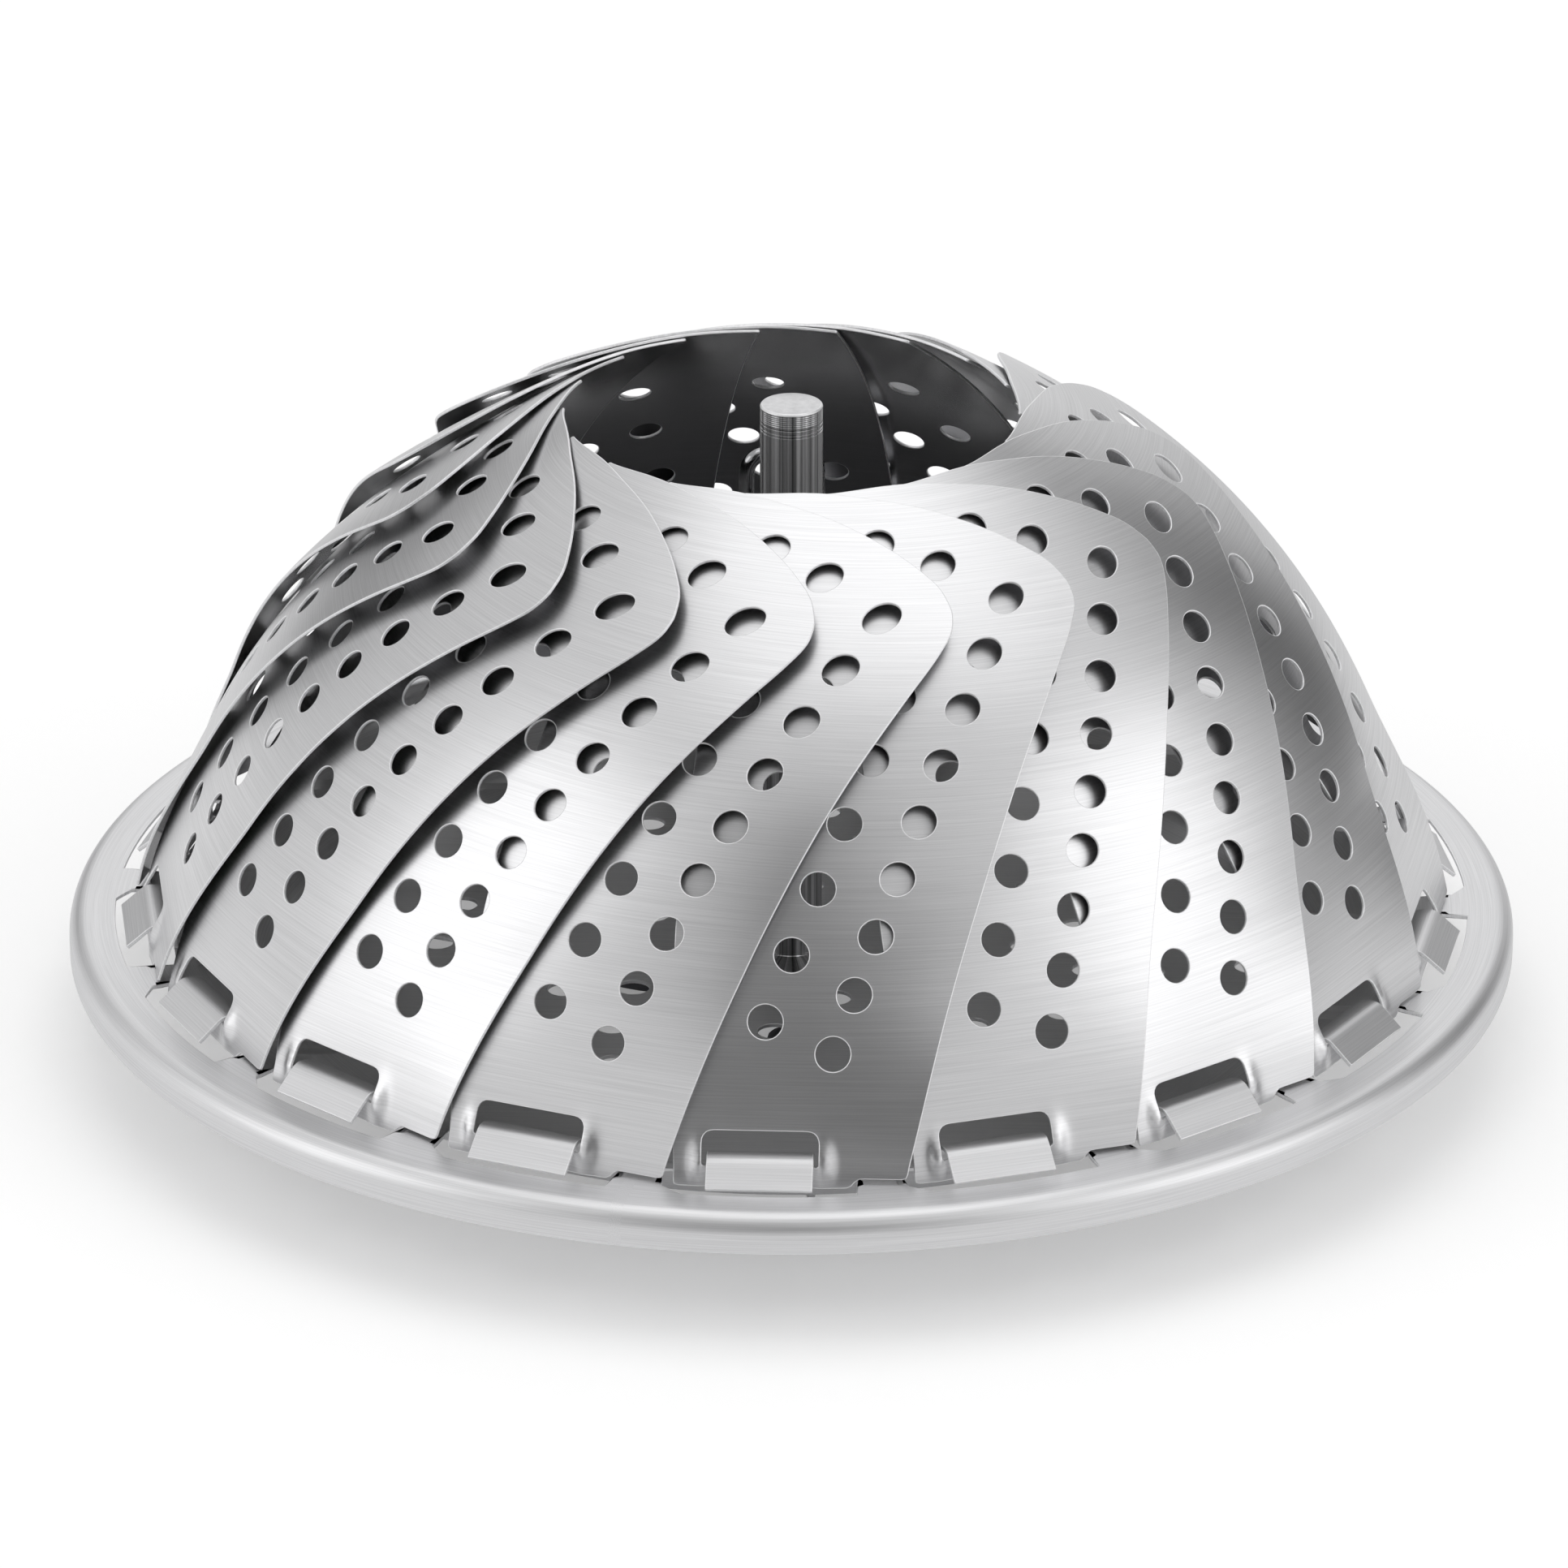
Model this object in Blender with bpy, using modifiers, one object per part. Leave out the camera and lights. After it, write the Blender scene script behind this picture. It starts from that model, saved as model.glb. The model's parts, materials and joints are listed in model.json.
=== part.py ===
"""Folding steamer basket, closed: a perforated pan, eighteen petals hinged on its tabs, a post with a
lifting rod and ring, and three legs folded flat under the pan. Metres, +Z up, origin on the floor."""

import math

import bmesh
import bpy
import numpy as np
from mathutils import Matrix, Vector

# Counts and angles
PETAL_COUNT = 18
FIRST_PETAL_ANGLE = math.radians(-90)
LEG_COUNT = 3
FIRST_LEG_ANGLE = math.radians(-80)
FLOOR_HOLE_ANGLE = math.radians(-63)
RING_ANGLE = math.radians(105)

# Clearances
GAP = 0.0003
CUT_OVERRUN = 0.003
MERGE_DISTANCE = 0.00001

# Pan
PAN_SHEET = 0.0005
PAN_DEPTH = 0.009
PAN_WALL_RUN = 0.0105
PAN_WALL_BEND = 0.0025
FLANGE_INNER_LIP = 0.0016
FLANGE_OUTER_LIP = 0.0035
RIM_ROLL = 0.0023
SKIRT_DEPTH = 0.0046
PAN_SEGMENTS = 48
BRIDGE_WIDTH = 0.00467
WINDOW_REACH_IN = 0.00235
WINDOW_REACH_OUT = 0.0045

# Hinge of a petal: the tab curls over the strip under the petal's slot
HINGE_RADIUS = 0.08025
HINGE_HEIGHT = 0.0012
TAB_WIDTH = 0.0125
TAB_ROOT_INSET = 0.00025
TAB_LEG_SETBACK = 0.00255
TAB_LEG_HEIGHT = 0.0019
TAB_RIDGE_HEIGHT = 0.00265
TAB_RIDGE_HALF = 0.0004
TAB_END_REACH = 0.00345
TAB_END_HEIGHT = 0.00010

# Petal
PETAL_SHEET = 0.0004
PETAL_HEIGHT = 0.0640
DOME_TOP_RADIUS = 0.0277
CROWN_SHARE = 0.8
LIFT_SLOPE = 0.12
FOOT_REACH = 0.0173
SHOULDER_REACH = 0.0353
STRIP_ABOVE_AXIS = 0.0006
STRIP_BELOW_AXIS = 0.0020
STRIP_HALF_WIDTH = 0.0106
CORNER_BELOW_AXIS = 0.00085
SLOT_WIDTH = 0.0137
SLOT_TOP = 0.0046
SLOT_CORNER = 0.0009
HOLE_RADIUS = 0.00204
HOLE_SIDES = 6

# Shape of the dome's profile: shares of the fall from the hinge to the top edge that go with the height,
# with its square and with its fourth power
PROFILE_SHARES = (0.340, 0.453, 0.207)
# The crown across and the lift on the right each come in between two shares of the height
CROWN_RAMP_SHARES = (0.028, 0.352)
LIFT_RAMP_SHARES = (0.058, 0.774)
# The hidden left edge keeps this many degrees from the petal's middle, at shares of the height
LEFT_EDGE_DEGREES = ((0.0, 7.2), (0.4, 8.6), (1.0, 9.0))
# The right edge: share of the sheet's length, share of the way from the foot to the shoulder
RIGHT_EDGE_SHARES = ((0.0, 0.0), (0.21, 0.23), (0.42, 0.50), (0.55, 0.68), (0.69, 0.895), (0.75, 0.98),
                     (0.785, 1.0), (0.815, 0.955))
# The top edge: share of the width, share of the sheet's length
TOP_EDGE_SHARES = ((0.0, 0.992), (0.23, 1.0), (0.41, 0.986), (0.57, 0.9625), (0.75, 0.919), (0.87, 0.880),
                   (0.95, 0.847), (1.0, 0.815))
# Rows of holes: count, then start and end as shares of the shoulder's reach and of the sheet's length
HOLE_ROW_SHARES = (
    (9, (0.235, 0.161), (0.770, 0.806)),
    (6, (0.010, 0.204), (0.421, 0.667)),
    (1, (0.539, 0.869), (0.539, 0.869)),
    (3, (-0.070, 0.385), (0.150, 0.675)),
    (1, (0.332, 0.910), (0.332, 0.910)),
)
# Grid of the sheet: shares of the length where its rows lie, and of the width where its columns lie
SHEET_ROW_SHARES = (0.0, 0.08, 0.25, 0.42, 0.59, 0.75, 0.88, 1.0)
SHEET_COLUMN_SHARES = (0.0, 0.22, 0.43, 0.63, 0.82, 1.0)

# Post, rod and ring
POST_RADIUS = 0.00387
POST_WALL = 0.0008
POST_TOP_ABOVE_FLANGE = 0.0658
POST_HEAD_HEIGHT = 0.0140
POST_FOOT_RADIUS = 0.0085
POST_FOOT_HEIGHT = 0.0016
POST_SEGMENTS = 20
CAP_HEIGHT = 0.0021
CAP_EDGE = 0.0003
CAP_STEM_RADIUS = 0.0016
CAP_STEM_DEPTH = 0.0040
GROOVE_DROP = 0.0006
GROOVE_WIDTH = 0.0003
GROOVE_DEPTH = 0.0002
ROD_RADIUS = 0.0022
ROD_STOP_RADIUS = 0.0027
ROD_STOP_HEIGHT = 0.0040
LIFT_TRAVEL = 0.040
BUSH_HEIGHT = 0.0050
RING_WIRE_RADIUS = 0.00095
RING_HALF_WIDTH = 0.0045
RING_STRAIGHT = 0.0105
RING_DROP = 0.0085
LUG_THICKNESS = 0.0014
LUG_RADIUS = 0.0021
LUG_HOLE_CLEARANCE = 0.0003
STUD_RADIUS = 0.0025
WASHER_RADIUS = 0.0070
WASHER_HEIGHT = 0.0009
NUT_ACROSS_CORNERS = 0.0090
NUT_HEIGHT = 0.0028
STUD_END_REACH = 0.0006

# Pan's floor holes: share of the floor's radius, number of holes, both by ring
FLOOR_HOLE_SHARES = ((0.34, 6), (0.62, 9), (0.88, 12))

# Legs
LEG_HINGE_SHARE = 0.79
LEG_LENGTH = 0.0350
LEG_WIDTH = 0.0080
LEG_SHEET = 0.0012
LEG_EYE_WALL = 0.0009
PIN_RADIUS = 0.0010
PIN_HEAD_RADIUS = 0.0018
PIN_HEAD_HEIGHT = 0.0007
PIN_CLEARANCE = 0.0001
PIN_DROP = 0.0024
BRACKET_SHEET = 0.0008
BRACKET_LENGTH = 0.0070
FOOT_LENGTH = 0.0090
FOOT_SIDE = 0.0014
FOOT_DEPTH = 0.0050
LEG_SEGMENTS = 12

# Heights that follow from the pieces
PIN_HEIGHT = FOOT_DEPTH / 2
PAN_UNDERSIDE = PIN_HEIGHT + PIN_DROP + BRACKET_SHEET + GAP
FLANGE_HEIGHT = PAN_UNDERSIDE + PAN_SHEET + PAN_DEPTH
AXIS_HEIGHT = FLANGE_HEIGHT + HINGE_HEIGHT
PAN_FLOOR = PAN_UNDERSIDE + PAN_SHEET

# Radii that follow from the hinge
WINDOW_INNER = HINGE_RADIUS - WINDOW_REACH_IN
WINDOW_OUTER = HINGE_RADIUS + WINDOW_REACH_OUT
WINDOW_WIDTH = 2 * WINDOW_INNER * math.tan(math.pi / PETAL_COUNT) - BRIDGE_WIDTH
FLANGE_INNER = WINDOW_INNER - FLANGE_INNER_LIP
FLOOR_RADIUS = FLANGE_INNER - PAN_WALL_RUN
RIM_RADIUS = WINDOW_OUTER + FLANGE_OUTER_LIP + RIM_ROLL
POST_BORE = POST_RADIUS - POST_WALL
POST_TOP = FLANGE_HEIGHT + POST_TOP_ABOVE_FLANGE


def empty_scene():
    """Remove every object and mesh, and make the two collections."""
    for item in list(bpy.data.objects):
        bpy.data.objects.remove(item, do_unlink=True)
    groups = []
    for name in ("steamer_basket", "cutters"):
        group = bpy.data.collections.new(name)
        bpy.context.scene.collection.children.link(group)
        groups.append(group)
    return groups


PARTS, CUTTERS = empty_scene()


def finish(name, color, roughness, metallic):
    """A plain material with the piece's colour, roughness and metal share."""
    material = bpy.data.materials.new(name)
    material.use_nodes = True
    shader = material.node_tree.nodes["Principled BSDF"]
    shader.inputs["Base Color"].default_value = (*color, 1.0)
    shader.inputs["Roughness"].default_value = roughness
    shader.inputs["Metallic"].default_value = metallic
    return material


SATIN = finish("satin_steel", (0.70, 0.70, 0.71), 0.34, 1.0)
BRIGHT = finish("bright_steel", (0.78, 0.78, 0.79), 0.18, 1.0)
DARK = finish("dark_polished_steel", (0.30, 0.30, 0.31), 0.22, 1.0)
ZINC = finish("zinc_plate", (0.62, 0.63, 0.65), 0.40, 1.0)
SILICONE = finish("grey_silicone", (0.16, 0.16, 0.17), 0.60, 0.0)


def own_material(item, base):
    """Give the object its own copy of a finish, named for it."""
    material = base.copy()
    material.name = item.name + "_finish"
    item.data.materials.clear()
    item.data.materials.append(material)


def add_object(name, mesh, group=None):
    """Link a mesh as a new object."""
    item = bpy.data.objects.new(name, mesh)
    (group or PARTS).objects.link(item)
    return item


def mesh_from_bmesh(name, shape):
    """Write a bmesh to a mesh whose faces point outwards."""
    bmesh.ops.recalc_face_normals(shape, faces=shape.faces)
    mesh = bpy.data.meshes.new(name)
    shape.to_mesh(mesh)
    shape.free()
    return mesh


def evaluated_mesh(item, name):
    """The object's mesh with its modifiers applied, in the object's own space."""
    graph = bpy.context.evaluated_depsgraph_get()
    mesh = bpy.data.meshes.new_from_object(item.evaluated_get(graph))
    mesh.name = name
    return mesh


def bake(item):
    """Replace an object's mesh by its evaluated one and drop its modifiers."""
    mesh = evaluated_mesh(item, item.name)
    item.modifiers.clear()
    item.data = mesh


def boolean(item, other, operation="DIFFERENCE"):
    """Cut an object by another one, or join the other one to it."""
    modifier = item.modifiers.new(other.name, "BOOLEAN")
    modifier.operation = operation
    modifier.solver = "EXACT"
    modifier.object = other


def hide_cutter(item):
    """Mark an object as a guide that isn't part of the model."""
    item.hide_render = True
    item.display_type = "WIRE"


def turned(name, profile, segments, group=None):
    """A solid turned about Z from a closed profile of (radius, height), listed from the outer top down."""
    mesh = bpy.data.meshes.new(name)
    points = [(radius, 0.0, height) for radius, height in profile]
    count = len(points)
    on_axis = profile[0][0] == 0 and profile[-1][0] == 0
    edges = [(i, i + 1) for i in range(count - 1)]
    if not on_axis:
        edges.append((count - 1, 0))
    mesh.from_pydata(points, edges, [])
    item = add_object(name, mesh, group)
    screw = item.modifiers.new("turn", "SCREW")
    screw.steps = segments
    screw.render_steps = segments
    screw.use_merge_vertices = True
    screw.merge_threshold = MERGE_DISTANCE
    bake(item)
    shape = bmesh.new()
    shape.from_mesh(item.data)
    bmesh.ops.remove_doubles(shape, verts=shape.verts, dist=MERGE_DISTANCE)
    axis_edges = [edge for edge in shape.edges if not edge.link_faces]
    bmesh.ops.delete(shape, geom=axis_edges, context="EDGES")
    item.data = mesh_from_bmesh(name, shape)
    return item


def add_box(shape, size, center, matrix=None):
    """Add a box to a bmesh."""
    place = Matrix.Translation(center) @ Matrix.Diagonal((*size, 1.0))
    if matrix is not None:
        place = matrix @ place
    bmesh.ops.create_cube(shape, size=1.0, matrix=place)


def add_cylinder(shape, radius, depth, matrix, segments):
    """Add a capped cylinder along the matrix's Z axis to a bmesh."""
    bmesh.ops.create_cone(shape, cap_ends=True, segments=segments, radius1=radius, radius2=radius,
                          depth=depth, matrix=matrix)


def extruded(shape, outline, half_width, matrix):
    """Add a prism to a bmesh: an outline of (along Y, along Z) carried along X to both sides."""
    sides = []
    for x in (-half_width, half_width):
        sides.append([shape.verts.new(matrix @ Vector((x, y, z))) for y, z in outline])
    shape.faces.new(sides[0])
    shape.faces.new(sides[1][::-1])
    count = len(outline)
    for i in range(count):
        j = (i + 1) % count
        shape.faces.new((sides[0][j], sides[0][i], sides[1][i], sides[1][j]))


def at_angle(angle, radius=0.0, height=0.0):
    """Place at an angle about the post: local X along the tangent, Y towards the post, Z up."""
    turn = Matrix.Rotation(angle + math.pi / 2, 4, "Z")
    return turn @ Matrix.Translation((0.0, -radius, height))


def petal_angle(index):
    """Angle of a petal's middle about the post."""
    return FIRST_PETAL_ANGLE + index * 2 * math.pi / PETAL_COUNT


# The petal's sheet

def dome_radius(height):
    """Radius of the dome on a petal's centre line, at a height above the hinge axis."""
    share = height / PETAL_HEIGHT
    risen = np.maximum(share, 0)
    slope_share, bend_share, tip_share = PROFILE_SHARES
    fall = slope_share * share + bend_share * risen ** 2 + tip_share * risen ** 4
    return HINGE_RADIUS - (HINGE_RADIUS - DOME_TOP_RADIUS) * fall


def smooth_rise(share, limits):
    """Goes smoothly from nothing at the first limit to one at the second."""
    low, high = limits
    step = np.clip((share - low) / (high - low), 0, 1)
    return step * step * (3 - 2 * step)


def sheet_radius(x, height):
    """Radial place of the sheet: the dome's profile, lifted on the right and crowned across by a share of
    a round dome's own bend."""
    radius = dome_radius(height)
    share = height / PETAL_HEIGHT
    lift = smooth_rise(share, LIFT_RAMP_SHARES) * LIFT_SLOPE * x
    crown = smooth_rise(share, CROWN_RAMP_SHARES) * CROWN_SHARE * x * x / (2 * radius)
    return radius + lift - crown


HEIGHT_SAMPLES = np.linspace(-2 * STRIP_BELOW_AXIS, PETAL_HEIGHT, 400)
LENGTH_STEPS = np.hypot(np.diff(HEIGHT_SAMPLES), np.diff(dome_radius(HEIGHT_SAMPLES)))
LENGTH_SAMPLES = np.concatenate(((0.0,), np.cumsum(LENGTH_STEPS)))
LENGTH_SAMPLES = LENGTH_SAMPLES - np.interp(0.0, HEIGHT_SAMPLES, LENGTH_SAMPLES)
SHEET_LENGTH = float(LENGTH_SAMPLES[-1])


def height_at(length):
    """Height above the hinge axis at a length along the sheet's centre line."""
    return np.interp(length, LENGTH_SAMPLES, HEIGHT_SAMPLES)


def sheet_point(x, length):
    """A point of the sheet in the petal's own space, whose origin is on the hinge axis."""
    height = float(height_at(length))
    return Vector((x, HINGE_RADIUS - float(sheet_radius(x, height)), height))


def left_edge(length):
    """Where the hidden left edge runs: just inside the plane halfway to the next petal."""
    height = float(height_at(length))
    shares, degrees = zip(*LEFT_EDGE_DEGREES)
    angle = math.radians(float(np.interp(height / PETAL_HEIGHT, shares, degrees)))
    return -float(dome_radius(height)) * math.tan(angle)


def right_edge(length):
    """Where the right edge runs, from the foot out to the shoulder."""
    lengths, spreads = zip(*RIGHT_EDGE_SHARES)
    spread = float(np.interp(length / SHEET_LENGTH, lengths, spreads))
    return FOOT_REACH + spread * (SHOULDER_REACH - FOOT_REACH)


def petal_sheet():
    """The petal's bent sheet as an open grid."""
    shape = bmesh.new()
    widths, tops = zip(*TOP_EDGE_SHARES)
    columns = []
    for across in SHEET_COLUMN_SHARES:
        top = float(np.interp(across, widths, tops)) * SHEET_LENGTH
        column = []
        for along in SHEET_ROW_SHARES:
            length = -STRIP_BELOW_AXIS + along * (top + STRIP_BELOW_AXIS)
            left = left_edge(length)
            x = left + across * (right_edge(length) - left)
            column.append(shape.verts.new(sheet_point(x, length)))
        columns.append(column)
    for left, right in zip(columns, columns[1:]):
        for i in range(len(left) - 1):
            shape.faces.new((left[i], right[i], right[i + 1], left[i + 1]))
    mesh = bpy.data.meshes.new("petal_sheet")
    shape.to_mesh(mesh)
    shape.free()
    return mesh


# Lays a prism's outline across and along the sheet, with its length square to the sheet
OUTLINE_ON_SHEET = Matrix(((0, 1, 0, 0), (0, 0, 1, 0), (1, 0, 0, 0), (0, 0, 0, 1)))


def sheet_frame(x, length):
    """Place on the sheet whose Z axis stands square to it."""
    step = HOLE_RADIUS / 4
    point = sheet_point(x, length)
    across = (sheet_point(x + step, length) - sheet_point(x - step, length)).normalized()
    along = sheet_point(x, length + step) - sheet_point(x, length - step)
    normal = across.cross(along).normalized()
    side = normal.cross(across)
    turn = Matrix((across, side, normal)).transposed().to_4x4()
    return Matrix.Translation(point) @ turn


def petal_holes():
    """Centres of the petal's holes as (x, length)."""
    centers = []
    for count, start, end in HOLE_ROW_SHARES:
        for i in range(count):
            share = i / max(count - 1, 1)
            x = SHOULDER_REACH * (start[0] + share * (end[0] - start[0]))
            length = SHEET_LENGTH * (start[1] + share * (end[1] - start[1]))
            centers.append((x, length))
    return centers


def petal_cutter():
    """The slot over the hinge strip, the step at the petal's right foot and the holes."""
    shape = bmesh.new()
    half = SLOT_WIDTH / 2
    frame = sheet_frame(0.0, 0.0)
    slot = ((-half, STRIP_ABOVE_AXIS), (half, STRIP_ABOVE_AXIS), (half, SLOT_TOP - SLOT_CORNER),
            (half - SLOT_CORNER, SLOT_TOP), (SLOT_CORNER - half, SLOT_TOP), (-half, SLOT_TOP - SLOT_CORNER))
    extruded(shape, slot, CUT_OVERRUN, frame @ OUTLINE_ON_SHEET)
    step_depth = 2 * STRIP_BELOW_AXIS
    step_width = 2 * (FOOT_REACH - STRIP_HALF_WIDTH)
    add_box(shape, (step_width, step_depth, 2 * CUT_OVERRUN),
            (STRIP_HALF_WIDTH + step_width / 2, -CORNER_BELOW_AXIS - step_depth / 2, 0.0), frame)
    for x, length in petal_holes():
        add_cylinder(shape, HOLE_RADIUS, CUT_OVERRUN, sheet_frame(x, length), HOLE_SIDES)
    item = add_object("petal_cutter", mesh_from_bmesh("petal_cutter", shape), CUTTERS)
    hide_cutter(item)
    return item


def make_petals():
    """One petal is bent, thickened and pierced, and its mesh serves all of them."""
    master = add_object("petal_master", petal_sheet(), CUTTERS)
    wall = master.modifiers.new("wall", "SOLIDIFY")
    wall.thickness = PETAL_SHEET
    wall.offset = 0.0
    boolean(master, petal_cutter())
    mesh = evaluated_mesh(master, "petal")
    bpy.data.objects.remove(master, do_unlink=True)
    mesh.shade_smooth()
    mesh.set_sharp_from_angle(angle=math.radians(30))
    for index in range(PETAL_COUNT):
        item = add_object(f"petal_{index + 1:02d}", mesh.copy())
        item.matrix_world = at_angle(petal_angle(index), HINGE_RADIUS, AXIS_HEIGHT)
        own_material(item, SATIN)


# The pan

def pan_profile():
    """Section of the pan as (radius, height): the upper side from the hub to the skirt, and back below."""
    top = FLANGE_HEIGHT
    floor = PAN_FLOOR
    bend = PAN_WALL_BEND
    slope = PAN_DEPTH / PAN_WALL_RUN
    roll = RIM_ROLL
    roll_share = 1 - math.sqrt(0.5)
    skirt = top - SKIRT_DEPTH
    hub = STUD_RADIUS + GAP
    upper = [
        (hub, floor),
        (FLOOR_RADIUS - bend / 2, floor),
        (FLOOR_RADIUS + bend / 2, floor + slope * bend / 2),
        (FLANGE_INNER - bend / 2, top - slope * bend / 2),
        (FLANGE_INNER + bend / 2, top),
        (RIM_RADIUS - roll, top),
        (RIM_RADIUS - roll * roll_share, top - roll * roll_share),
        (RIM_RADIUS, top - roll),
        (RIM_RADIUS, skirt),
    ]
    wall = PAN_SHEET
    inner_roll = roll - wall
    lower = [
        (RIM_RADIUS - wall, skirt),
        (RIM_RADIUS - wall, top - roll),
        (RIM_RADIUS - roll + inner_roll * math.sqrt(0.5), top - roll + inner_roll * math.sqrt(0.5)),
        (RIM_RADIUS - roll, top - wall),
        (FLANGE_INNER + bend / 2 + wall * slope / 2, top - wall),
        (FLANGE_INNER - bend / 2 + wall * slope / 2, top - slope * bend / 2 - wall),
        (FLOOR_RADIUS + bend / 2 + wall * slope / 2, floor + slope * bend / 2 - wall),
        (FLOOR_RADIUS - bend / 2 + wall * slope / 2, floor - wall),
        (hub, floor - wall),
    ]
    return upper + lower


def window_cutter():
    """The windows in the flange and the holes in the floor."""
    shape = bmesh.new()
    depth = WINDOW_OUTER - WINDOW_INNER
    for index in range(PETAL_COUNT):
        place = at_angle(petal_angle(index), WINDOW_INNER + depth / 2, FLANGE_HEIGHT - PAN_SHEET / 2)
        add_box(shape, (WINDOW_WIDTH, depth, PAN_SHEET + CUT_OVERRUN), (0.0, 0.0, 0.0), place)
    for share, count in FLOOR_HOLE_SHARES:
        for i in range(count):
            angle = FLOOR_HOLE_ANGLE + i * 2 * math.pi / count
            place = at_angle(angle, share * FLOOR_RADIUS, PAN_FLOOR)
            add_cylinder(shape, HOLE_RADIUS, CUT_OVERRUN, place, HOLE_SIDES)
    item = add_object("window_cutter", mesh_from_bmesh("window_cutter", shape), CUTTERS)
    hide_cutter(item)
    return item


def tab_outline():
    """Section of a tab as (inwards from the hinge axis, height over the flange), both faces of its sheet."""
    path = [
        Vector((TAB_LEG_SETBACK + TAB_ROOT_INSET, -PAN_SHEET * 0.6)),
        Vector((TAB_LEG_SETBACK, TAB_LEG_HEIGHT)),
        Vector((TAB_RIDGE_HALF, TAB_RIDGE_HEIGHT)),
        Vector((-TAB_RIDGE_HALF, TAB_RIDGE_HEIGHT)),
        Vector((-TAB_END_REACH, TAB_END_HEIGHT)),
    ]
    outer = []
    inner = []
    for i, point in enumerate(path):
        before = (point - path[i - 1]).normalized() if i > 0 else None
        after = (path[i + 1] - point).normalized() if i + 1 < len(path) else None
        along = ((before or after) + (after or before)).normalized()
        normal = Vector((along.y, -along.x))
        reach = PAN_SHEET / 2 / normal.dot(Vector(((before or after).y, -(before or after).x)))
        outer.append(point - normal * reach)
        inner.append(point + normal * reach)
    return outer + inner[::-1]


def make_tabs():
    """The tabs lanced from the windows, one prism each, for joining to the pan."""
    shape = bmesh.new()
    outline = [tuple(point) for point in tab_outline()]
    for index in range(PETAL_COUNT):
        extruded(shape, outline, TAB_WIDTH / 2, at_angle(petal_angle(index), HINGE_RADIUS, FLANGE_HEIGHT))
    item = add_object("tab_guide", mesh_from_bmesh("tab_guide", shape), CUTTERS)
    hide_cutter(item)
    return item


def make_pan():
    """The pan is turned, its windows and holes are cut, and the tabs are joined on."""
    pan = turned("base_pan", pan_profile(), PAN_SEGMENTS)
    boolean(pan, window_cutter())
    boolean(pan, make_tabs(), "UNION")
    bake(pan)
    own_material(pan, SATIN)


# The post

def make_post():
    """Tube on the pan with a bush at its top, and the washer and nut that hold it from below."""
    seat = PAN_FLOOR + GAP
    head_bottom = POST_TOP - POST_HEAD_HEIGHT
    tube_top = head_bottom - GAP
    bush_bottom = tube_top - BUSH_HEIGHT
    bore_floor = seat + POST_FOOT_HEIGHT + WASHER_HEIGHT
    stud_end = PAN_UNDERSIDE - 2 * GAP - WASHER_HEIGHT - NUT_HEIGHT - STUD_END_REACH
    shoulder = POST_FOOT_RADIUS - POST_RADIUS
    tube = turned("post_tube", [
        (POST_RADIUS, tube_top),
        (POST_RADIUS, seat + POST_FOOT_HEIGHT),
        (POST_RADIUS + shoulder * 0.9, seat + POST_FOOT_HEIGHT * 0.8),
        (POST_FOOT_RADIUS, seat + POST_FOOT_HEIGHT * 0.5),
        (POST_FOOT_RADIUS, seat),
        (STUD_RADIUS, seat),
        (STUD_RADIUS, stud_end),
        (0.0, stud_end),
        (0.0, bore_floor),
        (POST_BORE, bore_floor),
        (POST_BORE, tube_top),
    ], POST_SEGMENTS)
    own_material(tube, DARK)

    bush = turned("post_bush", [
        (POST_BORE - GAP / 3, tube_top),
        (POST_BORE - GAP / 3, bush_bottom),
        (ROD_RADIUS + GAP / 3, bush_bottom),
        (ROD_RADIUS + GAP / 3, tube_top),
    ], POST_SEGMENTS)
    own_material(bush, ZINC)

    washer = turned("post_washer", [
        (WASHER_RADIUS, PAN_UNDERSIDE - GAP),
        (WASHER_RADIUS, PAN_UNDERSIDE - GAP - WASHER_HEIGHT),
        (STUD_RADIUS + GAP, PAN_UNDERSIDE - GAP - WASHER_HEIGHT),
        (STUD_RADIUS + GAP, PAN_UNDERSIDE - GAP),
    ], POST_SEGMENTS)
    own_material(washer, ZINC)

    nut_middle = PAN_UNDERSIDE - 2 * GAP - WASHER_HEIGHT - NUT_HEIGHT / 2
    center = Matrix.Translation((0.0, 0.0, nut_middle))
    hexagon = bmesh.new()
    add_cylinder(hexagon, NUT_ACROSS_CORNERS / 2, NUT_HEIGHT, center, 6)
    nut = add_object("post_nut", mesh_from_bmesh("post_nut", hexagon))
    bore = bmesh.new()
    add_cylinder(bore, STUD_RADIUS + GAP, NUT_HEIGHT + CUT_OVERRUN, center, POST_SEGMENTS)
    cutter = add_object("nut_bore", mesh_from_bmesh("nut_bore", bore), CUTTERS)
    hide_cutter(cutter)
    boolean(nut, cutter)
    bake(nut)
    own_material(nut, ZINC)
    return head_bottom, bush_bottom


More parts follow.
